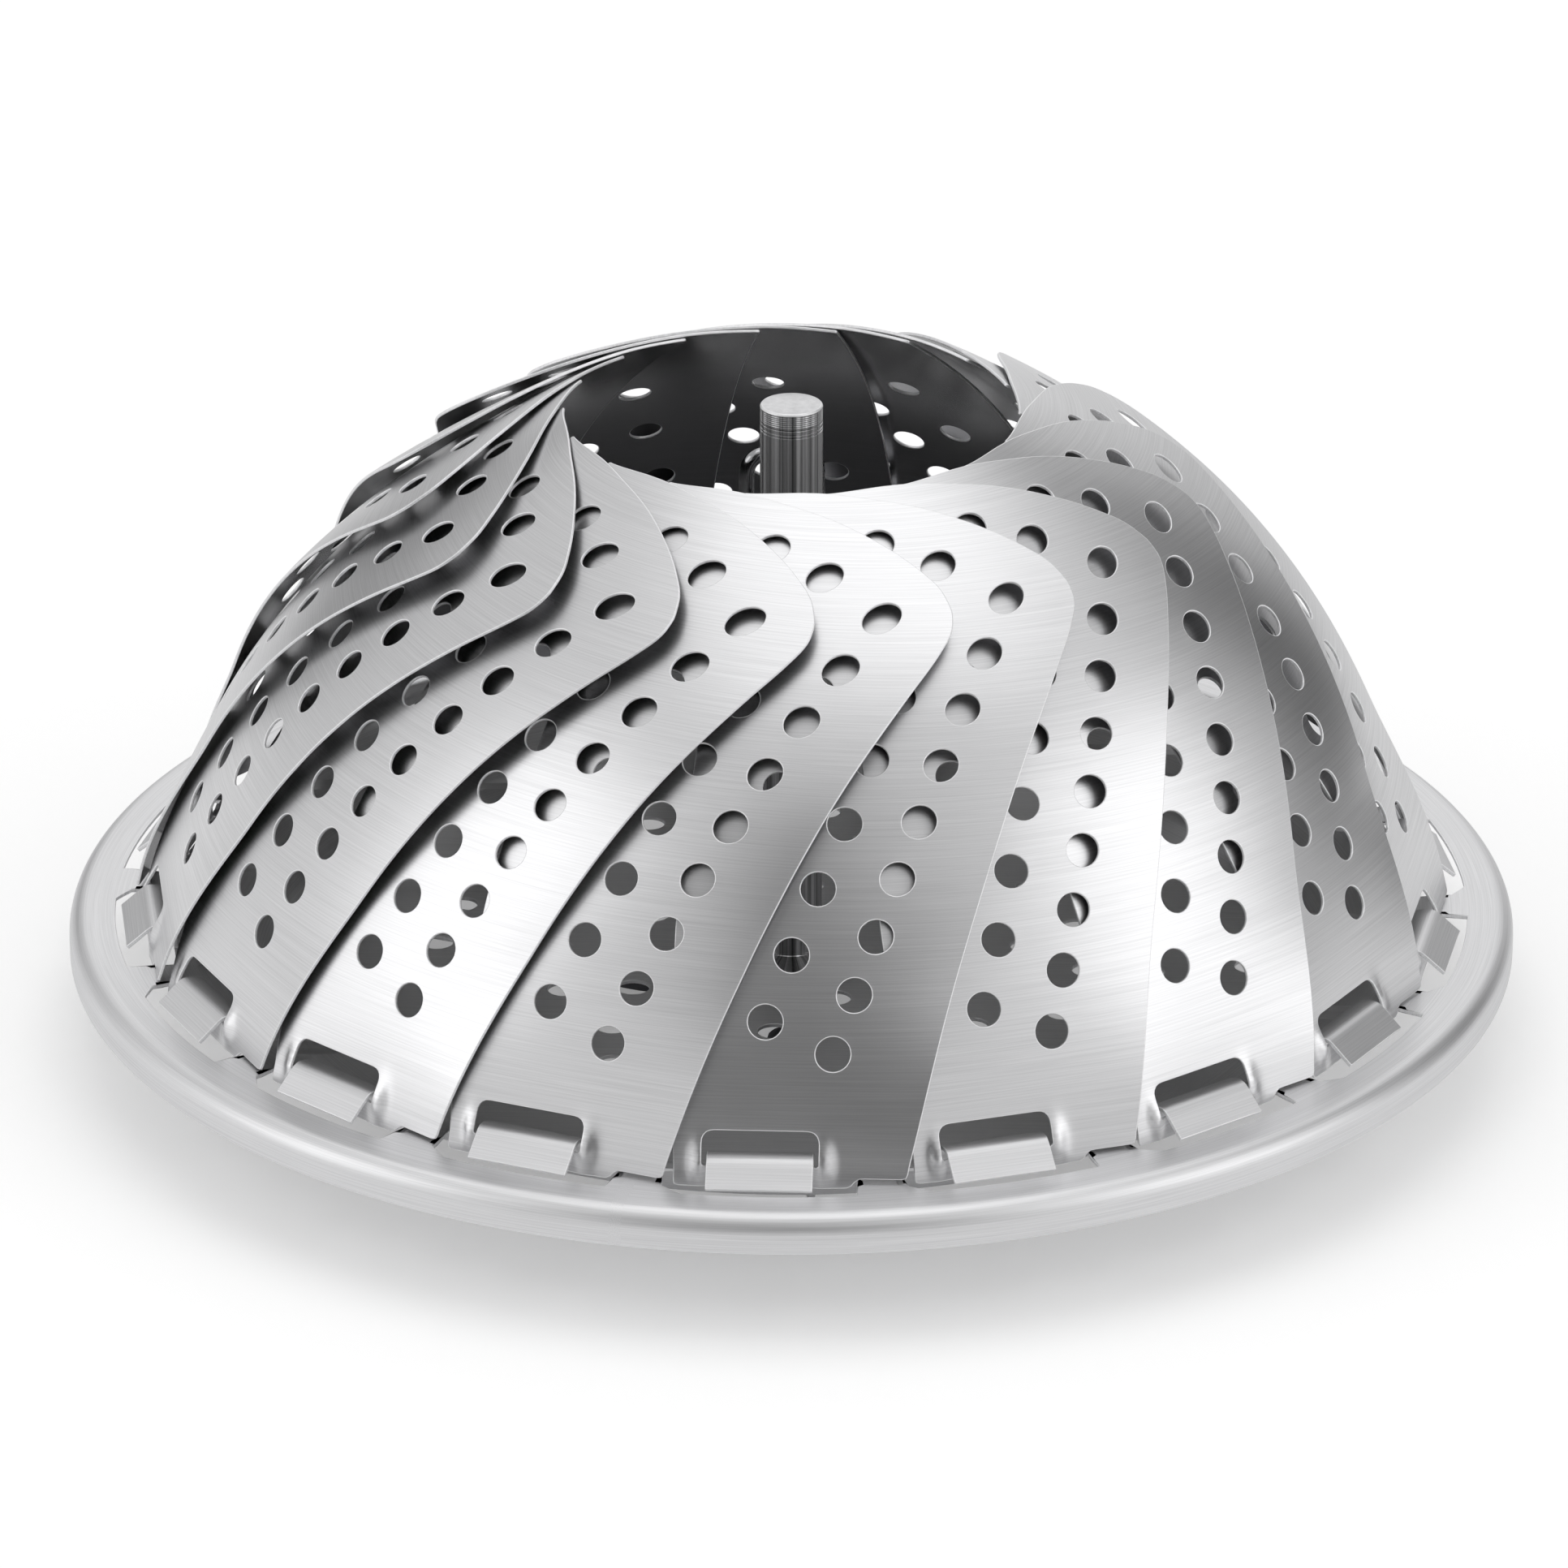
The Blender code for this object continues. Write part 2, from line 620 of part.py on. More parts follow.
def make_rod(head_bottom, bush_bottom):
    """The sliding rod with its stop, the head that it carries, the cap and the ring's lug."""
    stop_top = bush_bottom - LIFT_TRAVEL - GAP
    head_seat = head_bottom + GAP
    cap_bottom = POST_TOP - CAP_HEIGHT
    rod_top = cap_bottom - CAP_STEM_DEPTH - GAP
    rod = turned("post_rod", [
        (0.0, rod_top),
        (ROD_RADIUS, rod_top),
        (ROD_RADIUS, stop_top),
        (ROD_STOP_RADIUS, stop_top),
        (ROD_STOP_RADIUS, stop_top - ROD_STOP_HEIGHT),
        (0.0, stop_top - ROD_STOP_HEIGHT),
    ], POST_SEGMENTS)
    own_material(rod, BRIGHT)

    groove_top = cap_bottom - GROOVE_DROP
    head = turned("post_head", [
        (POST_RADIUS, cap_bottom - GAP / 3),
        (POST_RADIUS, groove_top),
        (POST_RADIUS - GROOVE_DEPTH, groove_top),
        (POST_RADIUS - GROOVE_DEPTH, groove_top - GROOVE_WIDTH),
        (POST_RADIUS, groove_top - GROOVE_WIDTH),
        (POST_RADIUS, head_seat),
        (ROD_RADIUS + GAP / 3, head_seat),
        (ROD_RADIUS + GAP / 3, cap_bottom - GAP / 3),
    ], POST_SEGMENTS)
    boolean(head, ring_lug(), "UNION")
    bake(head)
    own_material(head, DARK)

    cap = turned("post_cap", [
        (0.0, POST_TOP),
        (POST_RADIUS - CAP_EDGE, POST_TOP),
        (POST_RADIUS, POST_TOP - CAP_EDGE),
        (POST_RADIUS, cap_bottom),
        (CAP_STEM_RADIUS, cap_bottom),
        (CAP_STEM_RADIUS, cap_bottom - CAP_STEM_DEPTH),
        (0.0, cap_bottom - CAP_STEM_DEPTH),
    ], POST_SEGMENTS)
    own_material(cap, BRIGHT)


def ring_place():
    """Place of the ring's hinge: X along the lug's hole, Y towards the post."""
    reach = POST_RADIUS + 2 * GAP + RING_WIRE_RADIUS
    return at_angle(RING_ANGLE, reach, POST_TOP - RING_DROP)


def ring_lug():
    """The eye on the back of the head that the ring hangs in."""
    shape = bmesh.new()
    place = ring_place()
    sideways = Matrix.Rotation(math.pi / 2, 4, "Y")
    add_cylinder(shape, LUG_RADIUS, LUG_THICKNESS, place @ sideways, LEG_SEGMENTS)
    lug = add_object("lug_guide", mesh_from_bmesh("lug_guide", shape), CUTTERS)
    hide_cutter(lug)
    bore = bmesh.new()
    add_cylinder(bore, RING_WIRE_RADIUS + LUG_HOLE_CLEARANCE, LUG_THICKNESS + CUT_OVERRUN,
                 place @ sideways, LEG_SEGMENTS)
    cutter = add_object("lug_bore", mesh_from_bmesh("lug_bore", bore), CUTTERS)
    hide_cutter(cutter)
    boolean(lug, cutter)
    bake(lug)
    return lug


def make_ring():
    """The oval wire ring, hanging from the lug."""
    bend_steps = 4
    half = RING_HALF_WIDTH
    corner = half * 0.6
    points = []
    centers = ((half - corner, -corner, 90), (half - corner, -RING_STRAIGHT - corner, 0),
               (corner - half, -RING_STRAIGHT - corner, -90), (corner - half, -corner, -180))
    for x, z, start in centers:
        for step in range(bend_steps + 1):
            angle = math.radians(start - 90 * step / bend_steps)
            points.append((x + corner * math.cos(angle), 0.0, z + corner * math.sin(angle)))
    curve = bpy.data.curves.new("handle_ring", "CURVE")
    curve.dimensions = "3D"
    curve.bevel_depth = RING_WIRE_RADIUS
    curve.bevel_resolution = 2
    line = curve.splines.new("POLY")
    line.points.add(len(points) - 1)
    for target, point in zip(line.points, points):
        target.co = (*point, 1.0)
    line.use_cyclic_u = True
    item = add_object("ring_curve", curve, CUTTERS)
    mesh = evaluated_mesh(item, "handle_ring")
    bpy.data.objects.remove(item, do_unlink=True)
    ring = add_object("handle_ring", mesh)
    ring.matrix_world = ring_place()
    mesh.shade_smooth()
    own_material(ring, BRIGHT)


# The legs

def sideways_at(place, offset=(0.0, 0.0, 0.0)):
    """A place whose Z axis lies along the tangent."""
    return place @ Matrix.Translation(offset) @ Matrix.Rotation(math.pi / 2, 4, "Y")


def make_leg(number, place):
    """Bracket under the pan, pin, leg and its silicone foot; the place's origin is on the pin's axis."""
    eye_bore = PIN_RADIUS + PIN_CLEARANCE
    eye_radius = eye_bore + LEG_EYE_WALL
    ear_gap = LEG_WIDTH / 2 + GAP
    plate_top = PIN_DROP + BRACKET_SHEET

    outer = ear_gap + BRACKET_SHEET
    section = ((-outer, -PIN_HEIGHT), (-ear_gap, -PIN_HEIGHT), (-ear_gap, PIN_DROP), (ear_gap, PIN_DROP),
               (ear_gap, -PIN_HEIGHT), (outer, -PIN_HEIGHT), (outer, plate_top), (-outer, plate_top))
    bracket = bmesh.new()
    extruded(bracket, section, BRACKET_LENGTH / 2, place @ Matrix.Rotation(math.pi / 2, 4, "Z"))
    base = add_object(f"leg_bracket_{number}", mesh_from_bmesh("leg_bracket", bracket))
    bores = bmesh.new()
    add_cylinder(bores, eye_bore, 4 * outer, sideways_at(place), LEG_SEGMENTS)
    bore_item = add_object(f"ear_bore_{number}", mesh_from_bmesh("ear_bore", bores), CUTTERS)
    hide_cutter(bore_item)
    boolean(base, bore_item)
    bake(base)
    own_material(base, ZINC)

    head_inner = ear_gap + BRACKET_SHEET + GAP
    head_outer = head_inner + PIN_HEAD_HEIGHT
    pin = turned(f"leg_pin_{number}", [
        (0.0, head_outer),
        (PIN_HEAD_RADIUS, head_outer),
        (PIN_HEAD_RADIUS, head_inner),
        (PIN_RADIUS, head_inner),
        (PIN_RADIUS, -head_inner),
        (PIN_HEAD_RADIUS, -head_inner),
        (PIN_HEAD_RADIUS, -head_outer),
        (0.0, -head_outer),
    ], LEG_SEGMENTS)
    pin.matrix_world = sideways_at(place)
    own_material(pin, ZINC)

    leg_shape = bmesh.new()
    add_cylinder(leg_shape, eye_radius, LEG_WIDTH, sideways_at(Matrix.Identity(4)), LEG_SEGMENTS)
    leg = add_object(f"leg_{number}", mesh_from_bmesh("leg", leg_shape))
    plate = bmesh.new()
    plate_start = (eye_bore + eye_radius) / 2
    plate_length = LEG_LENGTH - plate_start
    add_box(plate, (LEG_WIDTH - 2 * GAP, plate_length, LEG_SHEET), (0.0, plate_start + plate_length / 2, 0.0))
    plate_item = add_object(f"plate_guide_{number}", mesh_from_bmesh("plate_guide", plate), CUTTERS)
    hide_cutter(plate_item)
    bore = bmesh.new()
    add_cylinder(bore, eye_bore, LEG_WIDTH + CUT_OVERRUN, sideways_at(Matrix.Identity(4)), LEG_SEGMENTS)
    bore_item = add_object(f"eye_bore_{number}", mesh_from_bmesh("eye_bore", bore), CUTTERS)
    hide_cutter(bore_item)
    boolean(leg, plate_item, "UNION")
    boolean(leg, bore_item)
    bake(leg)
    leg.matrix_world = place
    own_material(leg, SATIN)

    foot_width = LEG_WIDTH + 2 * FOOT_SIDE
    foot_end = LEG_LENGTH + FOOT_SIDE
    foot_shape = bmesh.new()
    add_box(foot_shape, (foot_width, FOOT_LENGTH, FOOT_DEPTH), (0.0, foot_end - FOOT_LENGTH / 2, 0.0))
    foot = add_object(f"leg_foot_{number}", mesh_from_bmesh("leg_foot", foot_shape))
    pocket = bmesh.new()
    pocket_depth = FOOT_LENGTH - FOOT_SIDE + GAP / 2
    add_box(pocket, (LEG_WIDTH + GAP, pocket_depth + CUT_OVERRUN, LEG_SHEET + GAP),
            (0.0, LEG_LENGTH + GAP / 2 - (pocket_depth + CUT_OVERRUN) / 2, 0.0))
    pocket_item = add_object(f"pocket_{number}", mesh_from_bmesh("pocket", pocket), CUTTERS)
    hide_cutter(pocket_item)
    bevel = foot.modifiers.new("edges", "BEVEL")
    bevel.width = FOOT_SIDE / 2
    bevel.segments = 1
    boolean(foot, pocket_item)
    bake(foot)
    foot.matrix_world = place
    own_material(foot, SILICONE)


def make_legs():
    """The legs stand evenly round the pan's floor and fold towards the post."""
    for index in range(LEG_COUNT):
        angle = FIRST_LEG_ANGLE + index * 2 * math.pi / LEG_COUNT
        make_leg(index + 1, at_angle(angle, LEG_HINGE_SHARE * FLOOR_RADIUS, PIN_HEIGHT))


make_pan()
make_petals()
HEAD_BOTTOM, BUSH_BOTTOM = make_post()
make_rod(HEAD_BOTTOM, BUSH_BOTTOM)
make_ring()
make_legs()
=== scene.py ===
"""Folding steamer basket in brushed steel: the finished surfaces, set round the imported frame."""

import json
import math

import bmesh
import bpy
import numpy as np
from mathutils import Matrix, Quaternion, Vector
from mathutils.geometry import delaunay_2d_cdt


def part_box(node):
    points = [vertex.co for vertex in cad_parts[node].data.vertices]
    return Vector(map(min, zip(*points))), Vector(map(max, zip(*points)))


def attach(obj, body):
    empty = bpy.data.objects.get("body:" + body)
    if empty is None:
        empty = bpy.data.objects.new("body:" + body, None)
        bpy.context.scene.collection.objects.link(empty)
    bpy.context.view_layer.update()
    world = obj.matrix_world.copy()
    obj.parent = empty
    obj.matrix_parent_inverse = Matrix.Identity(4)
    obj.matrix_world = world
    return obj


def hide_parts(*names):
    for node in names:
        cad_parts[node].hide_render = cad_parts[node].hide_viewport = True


bl_info = {
    "name": "Folding Steamer Basket",
    "version": (1, 0, 0),
    "blender": (4, 5, 0),
    "location": "View3D > Sidebar > Steamer",
    "description": "Makes the pan, petals, post, ring, legs and stage of a folding steamer basket",
    "category": "Add Mesh",
}

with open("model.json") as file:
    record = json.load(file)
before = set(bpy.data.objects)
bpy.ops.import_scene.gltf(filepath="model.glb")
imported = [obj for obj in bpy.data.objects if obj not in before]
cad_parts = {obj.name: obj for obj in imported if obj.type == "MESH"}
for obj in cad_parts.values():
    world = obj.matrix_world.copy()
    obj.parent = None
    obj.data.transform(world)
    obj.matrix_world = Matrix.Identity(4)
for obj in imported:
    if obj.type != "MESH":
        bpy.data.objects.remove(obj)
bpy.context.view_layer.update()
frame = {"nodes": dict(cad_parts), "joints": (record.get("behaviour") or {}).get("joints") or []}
JOINTS = {joint["name"]: joint for joint in frame["joints"]}
MM = 0.001

# Places read from the frame
HINGE_POINT = JOINTS["petal_01_hinge"]["pos_m"]
HINGE_RADIUS = math.hypot(HINGE_POINT[0], HINGE_POINT[1])
AXIS_HEIGHT = HINGE_POINT[2]
PETAL_NAMES = sorted(name for name in frame["nodes"] if name.startswith("petal_"))
PETAL_COUNT = len(PETAL_NAMES)
LEG_NAMES = sorted(name for name in frame["nodes"] if name[:4] == "leg_" and name[4:].isdigit())
PITCH = 2 * math.pi / PETAL_COUNT
FIRST_ANGLE = math.atan2(HINGE_POINT[1], HINGE_POINT[0])
PAN_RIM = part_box("base_pan")[1].x
TUBE_LOW, TUBE_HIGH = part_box("post_tube")
HEAD_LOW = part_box("post_head")[0]
CAP_LOW, CAP_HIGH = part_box("post_cap")

# Places and sizes that more than one piece needs
PAN_FLANGE = AXIS_HEIGHT - 1.2 * MM
PAN_DEPTH = 9 * MM
POST_RADIUS = 3.87 * MM
CAP_HEIGHT = 2.1 * MM


def number_property(name, description, default, **limits):
    """A number that a user can set."""
    return bpy.props.FloatProperty(name=name, description=description, default=default, **limits)


def length_property(name, description, default):
    """A length that a user can set."""
    return number_property(name, description, default, min=0.0, precision=5, unit="LENGTH")


def colour_property(name, description, default):
    """A colour that a user can set."""
    return bpy.props.FloatVectorProperty(name=name, description=description, default=default, size=3,
                                         min=0.0, max=1.0, subtype="COLOR")


class PetalSizes(bpy.types.PropertyGroup):
    """Sizes of one petal."""
    sheet: length_property("Sheet", "Thickness of the petal's sheet", 0.4 * MM)
    height: length_property("Height", "From the hinge axis up to the top edge", 64.0 * MM)
    top_radius: length_property("Top radius", "Radius of the dome at the top edge", 27.7 * MM)
    crown: number_property("Crown", "Bend across, as a share of the round dome's own", 0.8, min=0.0)
    lift: number_property("Lift", "Slope that carries the right side over the next petal", 0.12, min=0.0)
    foot_reach: length_property("Foot reach", "From the middle to the right edge at the foot", 17.3 * MM)
    shoulder_reach: length_property("Shoulder reach", "From the middle to the right shoulder", 35.3 * MM)
    strip_above: length_property("Strip above axis", "Hinge strip above the hinge axis", 0.6 * MM)
    strip_below: length_property("Strip below axis", "Hinge strip below the hinge axis", 2.0 * MM)
    strip_half: length_property("Strip half width", "Half the width of the hinge strip", 10.6 * MM)
    corner_below: length_property("Corner below axis", "Right foot below the hinge axis", 0.85 * MM)
    slot_width: length_property("Slot width", "Width of the slot that the tab passes", 13.7 * MM)
    slot_top: length_property("Slot top", "Top of the slot over the hinge axis", 4.6 * MM)
    slot_corner: length_property("Slot corner", "Radius of the slot's upper corners", 1.5 * MM)
    hole_radius: length_property("Hole radius", "Radius of the steam holes", 2.04 * MM)
    bulge: length_property("Bulge", "How far the sheet stands out beside the slot", 0.8 * MM)
    edge: length_property("Edge", "Width of the broken edge round the sheet and its holes", 0.13 * MM)


class PanSizes(bpy.types.PropertyGroup):
    """Sizes of the pan."""
    sheet: length_property("Sheet", "Thickness of the pan's sheet", 0.5 * MM)
    depth: length_property("Depth", "From the flange down to the floor", PAN_DEPTH)
    wall_run: length_property("Wall run", "How far the sloping wall runs outwards", 10.5 * MM)
    bend: length_property("Bend", "Radius of the bends of the wall", 2.6 * MM)
    inner_lip: length_property("Inner lip", "Flange inside the windows", 1.6 * MM)
    roll: length_property("Roll", "Radius of the rolled rim", 2.3 * MM)
    skirt: length_property("Skirt", "From the flange down to the skirt's edge", 4.6 * MM)
    window_in: length_property("Window inwards", "Window inside the hinge axis", 2.35 * MM)
    window_out: length_property("Window outwards", "Window outside the hinge axis", 4.5 * MM)
    window_half: length_property("Window half width", "Half the width of a window", 11.4 * MM)
    window_chamfer: length_property("Window chamfer", "Cut off a window's outer left corner", 2.2 * MM)
    tab_half: length_property("Tab half width", "Half the width of a hinge tab", 6.25 * MM)
    hole_radius: length_property("Hole radius", "Radius of the floor's holes", 2.04 * MM)
    edge: length_property("Edge", "Width of the broken edge", 0.12 * MM)


class StageSettings(bpy.types.PropertyGroup):
    """Light, camera and floor."""
    floor_colour: colour_property("Floor", "Colour of the floor", (0.88, 0.88, 0.88))
    sky_strength: number_property("Sky", "Strength of the even light", 0.64)
    lens: number_property("Lens", "Focal length in millimetres", 185.64)
    distance: length_property("Distance", "From the camera to the flange's middle", 1.0168)
    azimuth: number_property("Azimuth", "Camera's turn from the front", math.radians(2.6), subtype="ANGLE")
    elevation: number_property("Elevation", "Camera's height as an angle", math.radians(24.725),
                               subtype="ANGLE")


class FinishColours(bpy.types.PropertyGroup):
    """Colours of the finishes."""
    steel: colour_property("Steel", "Satin sheet", (0.80, 0.80, 0.81))
    # Painted highlight: cut edges and the cap's rim are lighter than the sheet and partly non-metal, so they
    # show as bright lines.
    edge: colour_property("Edge", "Bright cut edges", (0.92, 0.92, 0.93))
    # Painted shade: the inner side is the same steel as the outer, darkened to stand in for the shade inside
    # the closed dome.
    steel_inside_painted_shade: colour_property("Steel inside", "Sheet on the basket's inner side", (0.26, 0.26, 0.27))
    post: colour_property("Post", "Dark polished tube", (0.68, 0.68, 0.69))
    cap: colour_property("Cap", "Turned cap", (0.72, 0.72, 0.73))
    wire: colour_property("Wire", "Polished wire", (0.42, 0.42, 0.43))
    zinc: colour_property("Zinc", "Plated fastenings", (0.60, 0.61, 0.63))
    silicone: colour_property("Silicone", "Rubbery feet", (0.10, 0.10, 0.11))


# Shape of the dome's profile: shares that go with the height, its square and its fourth power
PROFILE_SHARES = (0.340, 0.453, 0.207)
# Shares of a petal's height between which its crown and its lift grow
CROWN_RAMP_SHARES = (0.028, 0.352)
LIFT_RAMP_SHARES = (0.058, 0.774)
# Hidden left edge: share of the height, and angle from the petal's middle
LEFT_EDGE_DEGREES = ((0.0, 7.2), (0.4, 8.6), (1.0, 9.0))
# Right edge: share of the length, and share of the way from the foot's reach to the shoulder's
RIGHT_EDGE_SHARES = ((0.0, 0.0), (0.21, 0.23), (0.42, 0.50), (0.55, 0.68), (0.69, 0.895), (0.75, 0.98),
                     (0.785, 1.0), (0.815, 0.955))
# Top edge: share of the width from left to right, and share of the length
TOP_EDGE_SHARES = ((0.0, 0.992), (0.23, 1.0), (0.41, 0.986), (0.57, 0.9625), (0.75, 0.919), (0.87, 0.880),
                   (0.95, 0.847), (1.0, 0.815))
# Rows of steam holes: count, then the first and last hole as shares of the shoulder's reach and the length
HOLE_ROW_SHARES = (
    (9, (0.235, 0.161), (0.770, 0.806)),
    (6, (0.010, 0.204), (0.421, 0.667)),
    (1, (0.539, 0.869), (0.539, 0.869)),
    (3, (-0.070, 0.385), (0.150, 0.675)),
    (1, (0.332, 0.910), (0.332, 0.910)),
)
# Bulges beside the slot: side, width and reach along the petal
BULGES = ((1, 1.1 * MM, 2.3 * MM), (-1, 0.8 * MM, 2.0 * MM))
# Top face of a tab, in millimetres: inwards from the hinge axis and up from the flange
TAB_PATH = ((2.80, 0.0), (2.82, 0.8), (2.76, 1.7), (2.45, 2.3), (1.75, 2.68), (0.9, 2.86), (0.1, 2.92),
            (-0.55, 2.74), (-1.2, 2.28), (-2.0, 1.62), (-2.8, 0.96), (-3.6, 0.32))
# Rings of holes in the floor: share of its radius, count and the first hole's angle in degrees
FLOOR_RINGS = ((0.20, 6, -63), (0.33, 12, -63), (0.455, 15, -63), (0.57, 18, -63), (0.685, 24, -63),
               (0.88, 8, -90))

# Grids of points: on a petal, finer round its slot, on the pan's floor, and on each petal's share of the pan
PETAL_GRID = 1.7 * MM
SLOT_GRID = 0.6 * MM
SLOT_MARGIN = 3.5 * MM
FLOOR_GRID = 3.5 * MM
STRIP_COLUMNS = 20
TAB_ROWS, TAB_POINTS = 26, 9
# Part of the flat floor that belongs to the wall's path
FLOOR_STRIP = 4 * MM
# Floor holes keep this far from the middle of a leg's bracket
LEG_CLEARANCE = 6.5 * MM


# Meshes from arrays

def columns(*values):
    """Numbers or arrays as the columns of one table, each stretched to the shape they share."""
    return np.stack(np.broadcast_arrays(*values), axis=-1)


def turns(count):
    """Even angles once round."""
    return np.linspace(0, 2 * math.pi, count, endpoint=False)


def axes_at(angle):
    """Axes, as rows, at a turn round the post: along the round, outwards and up."""
    return np.array(((-math.sin(angle), math.cos(angle), 0.0), (math.cos(angle), math.sin(angle), 0.0),
                     (0.0, 0.0, 1.0)))


def hinge_axes(joint):
    """A joint's place and the axes there."""
    place = np.array(JOINTS[joint]["pos_m"])
    return place, axes_at(math.atan2(place[1], place[0]))


def link_object(name, data):
    """A new object in the scene."""
    item = bpy.data.objects.new(name, data)
    bpy.context.scene.collection.objects.link(item)
    return item


def new_mesh(name, points, faces, uv=None, place=None):
    """A mesh written from arrays: points (n, 3), triangles (m, 3), and by point the uv (n, 2) of its drawn
    lines and its place (n, 2) on the piece."""
    points = np.asarray(points, np.float32)
    faces = np.asarray(faces, np.int32)
    mesh = bpy.data.meshes.new(name)
    mesh.vertices.add(len(points))
    mesh.vertices.foreach_set("co", points.ravel())
    mesh.loops.add(faces.size)
    mesh.loops.foreach_set("vertex_index", faces.ravel())
    mesh.polygons.add(len(faces))
    mesh.polygons.foreach_set("loop_start", np.arange(0, faces.size, 3, dtype=np.int32))
    mesh.polygons.foreach_set("use_smooth", np.ones(len(faces), bool))
    for layer_name, places in (("lines", uv), ("place", place)):
        if places is not None:
            layer = mesh.uv_layers.new(name=layer_name)
            layer.uv.foreach_set("vector", np.asarray(places, np.float32)[faces.ravel()].ravel())
    mesh.update(calc_edges=True)
    mesh.validate()
    return mesh


def add_piece(name, mesh, body, nodes, materials):
    """Link a mesh as a piece that rides on a body and stands for the nodes."""
    piece = link_object(name, mesh)
    for material in materials:
        mesh.materials.append(material)
    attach(piece, body)
    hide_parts(*nodes)
    return piece


def weld(points, faces, uv=None, tolerance=1e-6):
    """Merge points that lie in one place and drop the triangles that this closes up."""
    keys = np.round(points / tolerance).astype(np.int64)
    _, first, where = np.unique(keys, axis=0, return_index=True, return_inverse=True)
    faces = where.ravel()[faces]
    faces = faces[(faces != np.roll(faces, 1, axis=1)).all(axis=1)]
    return points[first], faces, None if uv is None else uv[first]


def grid_triangles(high, wide, closed_rows=False, closed_columns=False):
    """Triangles of a grid of points that is stored row by row, wrapped round where asked."""
    row = np.arange(high if closed_rows else high - 1)[:, None]
    column = np.arange(wide if closed_columns else wide - 1)
    next_row = (row + 1) % high
    next_column = (column + 1) % wide
    quads = columns(row * wide + column, row * wide + next_column, next_row * wide + next_column,
                    next_row * wide + column).reshape(-1, 4)
    return np.concatenate((quads[:, (0, 1, 2)], quads[:, (0, 2, 3)]))


def through(table, at):
    """Smooth curve through (place, value) rows: a cubic between two rows, whose slope at a row is the
    mean of the slopes on its two sides."""
    places, values = np.array(table, float).T
    steps = np.diff(places)
    slopes = np.diff(values) / steps
    tangents = np.concatenate((slopes[:1], (slopes[1:] + slopes[:-1]) / 2, slopes[-1:]))
    at = np.clip(at, places[0], places[-1])
    i = np.clip(np.searchsorted(places, at, side="right") - 1, 0, len(steps) - 1)
    t = (at - places[i]) / steps[i]
    return ((2 * t ** 3 - 3 * t ** 2 + 1) * values[i] + (t ** 3 - 2 * t ** 2 + t) * steps[i] * tangents[i]
            + (3 * t ** 2 - 2 * t ** 3) * values[i + 1] + (t ** 3 - t ** 2) * steps[i] * tangents[i + 1])


def reach_along(line):
    """Length along a line up to each of its points."""
    return np.concatenate(((0,), np.cumsum(np.linalg.norm(np.diff(line, axis=0), axis=1))))


def spaced(line, count):
    """A line sampled again at even steps of its length."""
    reach = reach_along(line)
    at = np.linspace(0, reach[-1], count)
    return columns(*(np.interp(at, reach, column) for column in line.T))


def softened(loop, passes):
    """A closed loop whose corners are rounded by taking the mean of each point and its neighbours."""
    for _ in range(passes):
        loop = (np.roll(loop, 1, axis=0) + 2 * loop + np.roll(loop, -1, axis=0)) / 4
    return loop


def circle(center, radius, count):
    """A round loop."""
    turn = turns(count)
    return columns(center[0] + radius * np.cos(turn), center[1] + radius * np.sin(turn))


def corner_curve(before, corner, after, cut, most, count):
    """Points that round off a corner between two others, from a cut's length before it to as far behind it,
    but at most a share of either side: start, corner and end count (1 - share) squared, 2 share (1 - share)
    and share squared."""
    back, ahead = before - corner, after - corner
    back_length, ahead_length = np.linalg.norm(back), np.linalg.norm(ahead)
    cut = min(cut, most * back_length, most * ahead_length)
    start, end = corner + back / back_length * cut, corner + ahead / ahead_length * cut
    share = np.linspace(0, 1, count)[:, None]
    return (1 - share) ** 2 * start + 2 * share * (1 - share) * corner + share ** 2 * end


def corners_of(loop):
    """Each corner of a closed loop between the ones before and after it."""
    loop = np.array(loop, float)
    return zip(np.roll(loop, 1, axis=0), loop, np.roll(loop, -1, axis=0))


def rounded_corners(corners, radii, step):
    """A closed loop through corners, each rounded with its own radius, with points about a step apart."""
    loop = []
    for (before, here, after), radius in zip(corners_of(corners), radii):
        back, ahead = before - here, after - here
        cosine = float(back @ ahead / (np.linalg.norm(back) * np.linalg.norm(ahead)))
        half = math.acos(min(max(cosine, -1.0), 1.0)) / 2
        loop.append(corner_curve(before, here, after, radius / math.tan(half), 0.49, 7))
    joined = np.concatenate(loop + [loop[0][:1]])
    return spaced(joined, int(reach_along(joined)[-1] / step) + 1)[:-1]


def crossings(points, loops):
    """How often a ray from each point crosses the loops: an odd count is inside."""
    total = np.zeros(len(points), int)
    for loop in loops:
        start, end = loop, np.roll(loop, -1, axis=0)
        y = points[:, 1:2]
        spans = (start[:, 1] > y) != (end[:, 1] > y)
        rise = np.where(end[:, 1] == start[:, 1], 1, end[:, 1] - start[:, 1])
        x = start[:, 0] + (y - start[:, 1]) / rise * (end[:, 0] - start[:, 0])
        total += (spans & (points[:, 0:1] < x)).sum(axis=1)
    return total


def clear_of(points, loops, distance):
    """Which points stay at least a distance from every loop's points."""
    free = np.ones(len(points), bool)
    for loop in loops:
        gaps = np.hypot(points[:, 0:1] - loop[:, 0], points[:, 1:2] - loop[:, 1])
        free &= gaps.min(axis=1) > distance
    return free


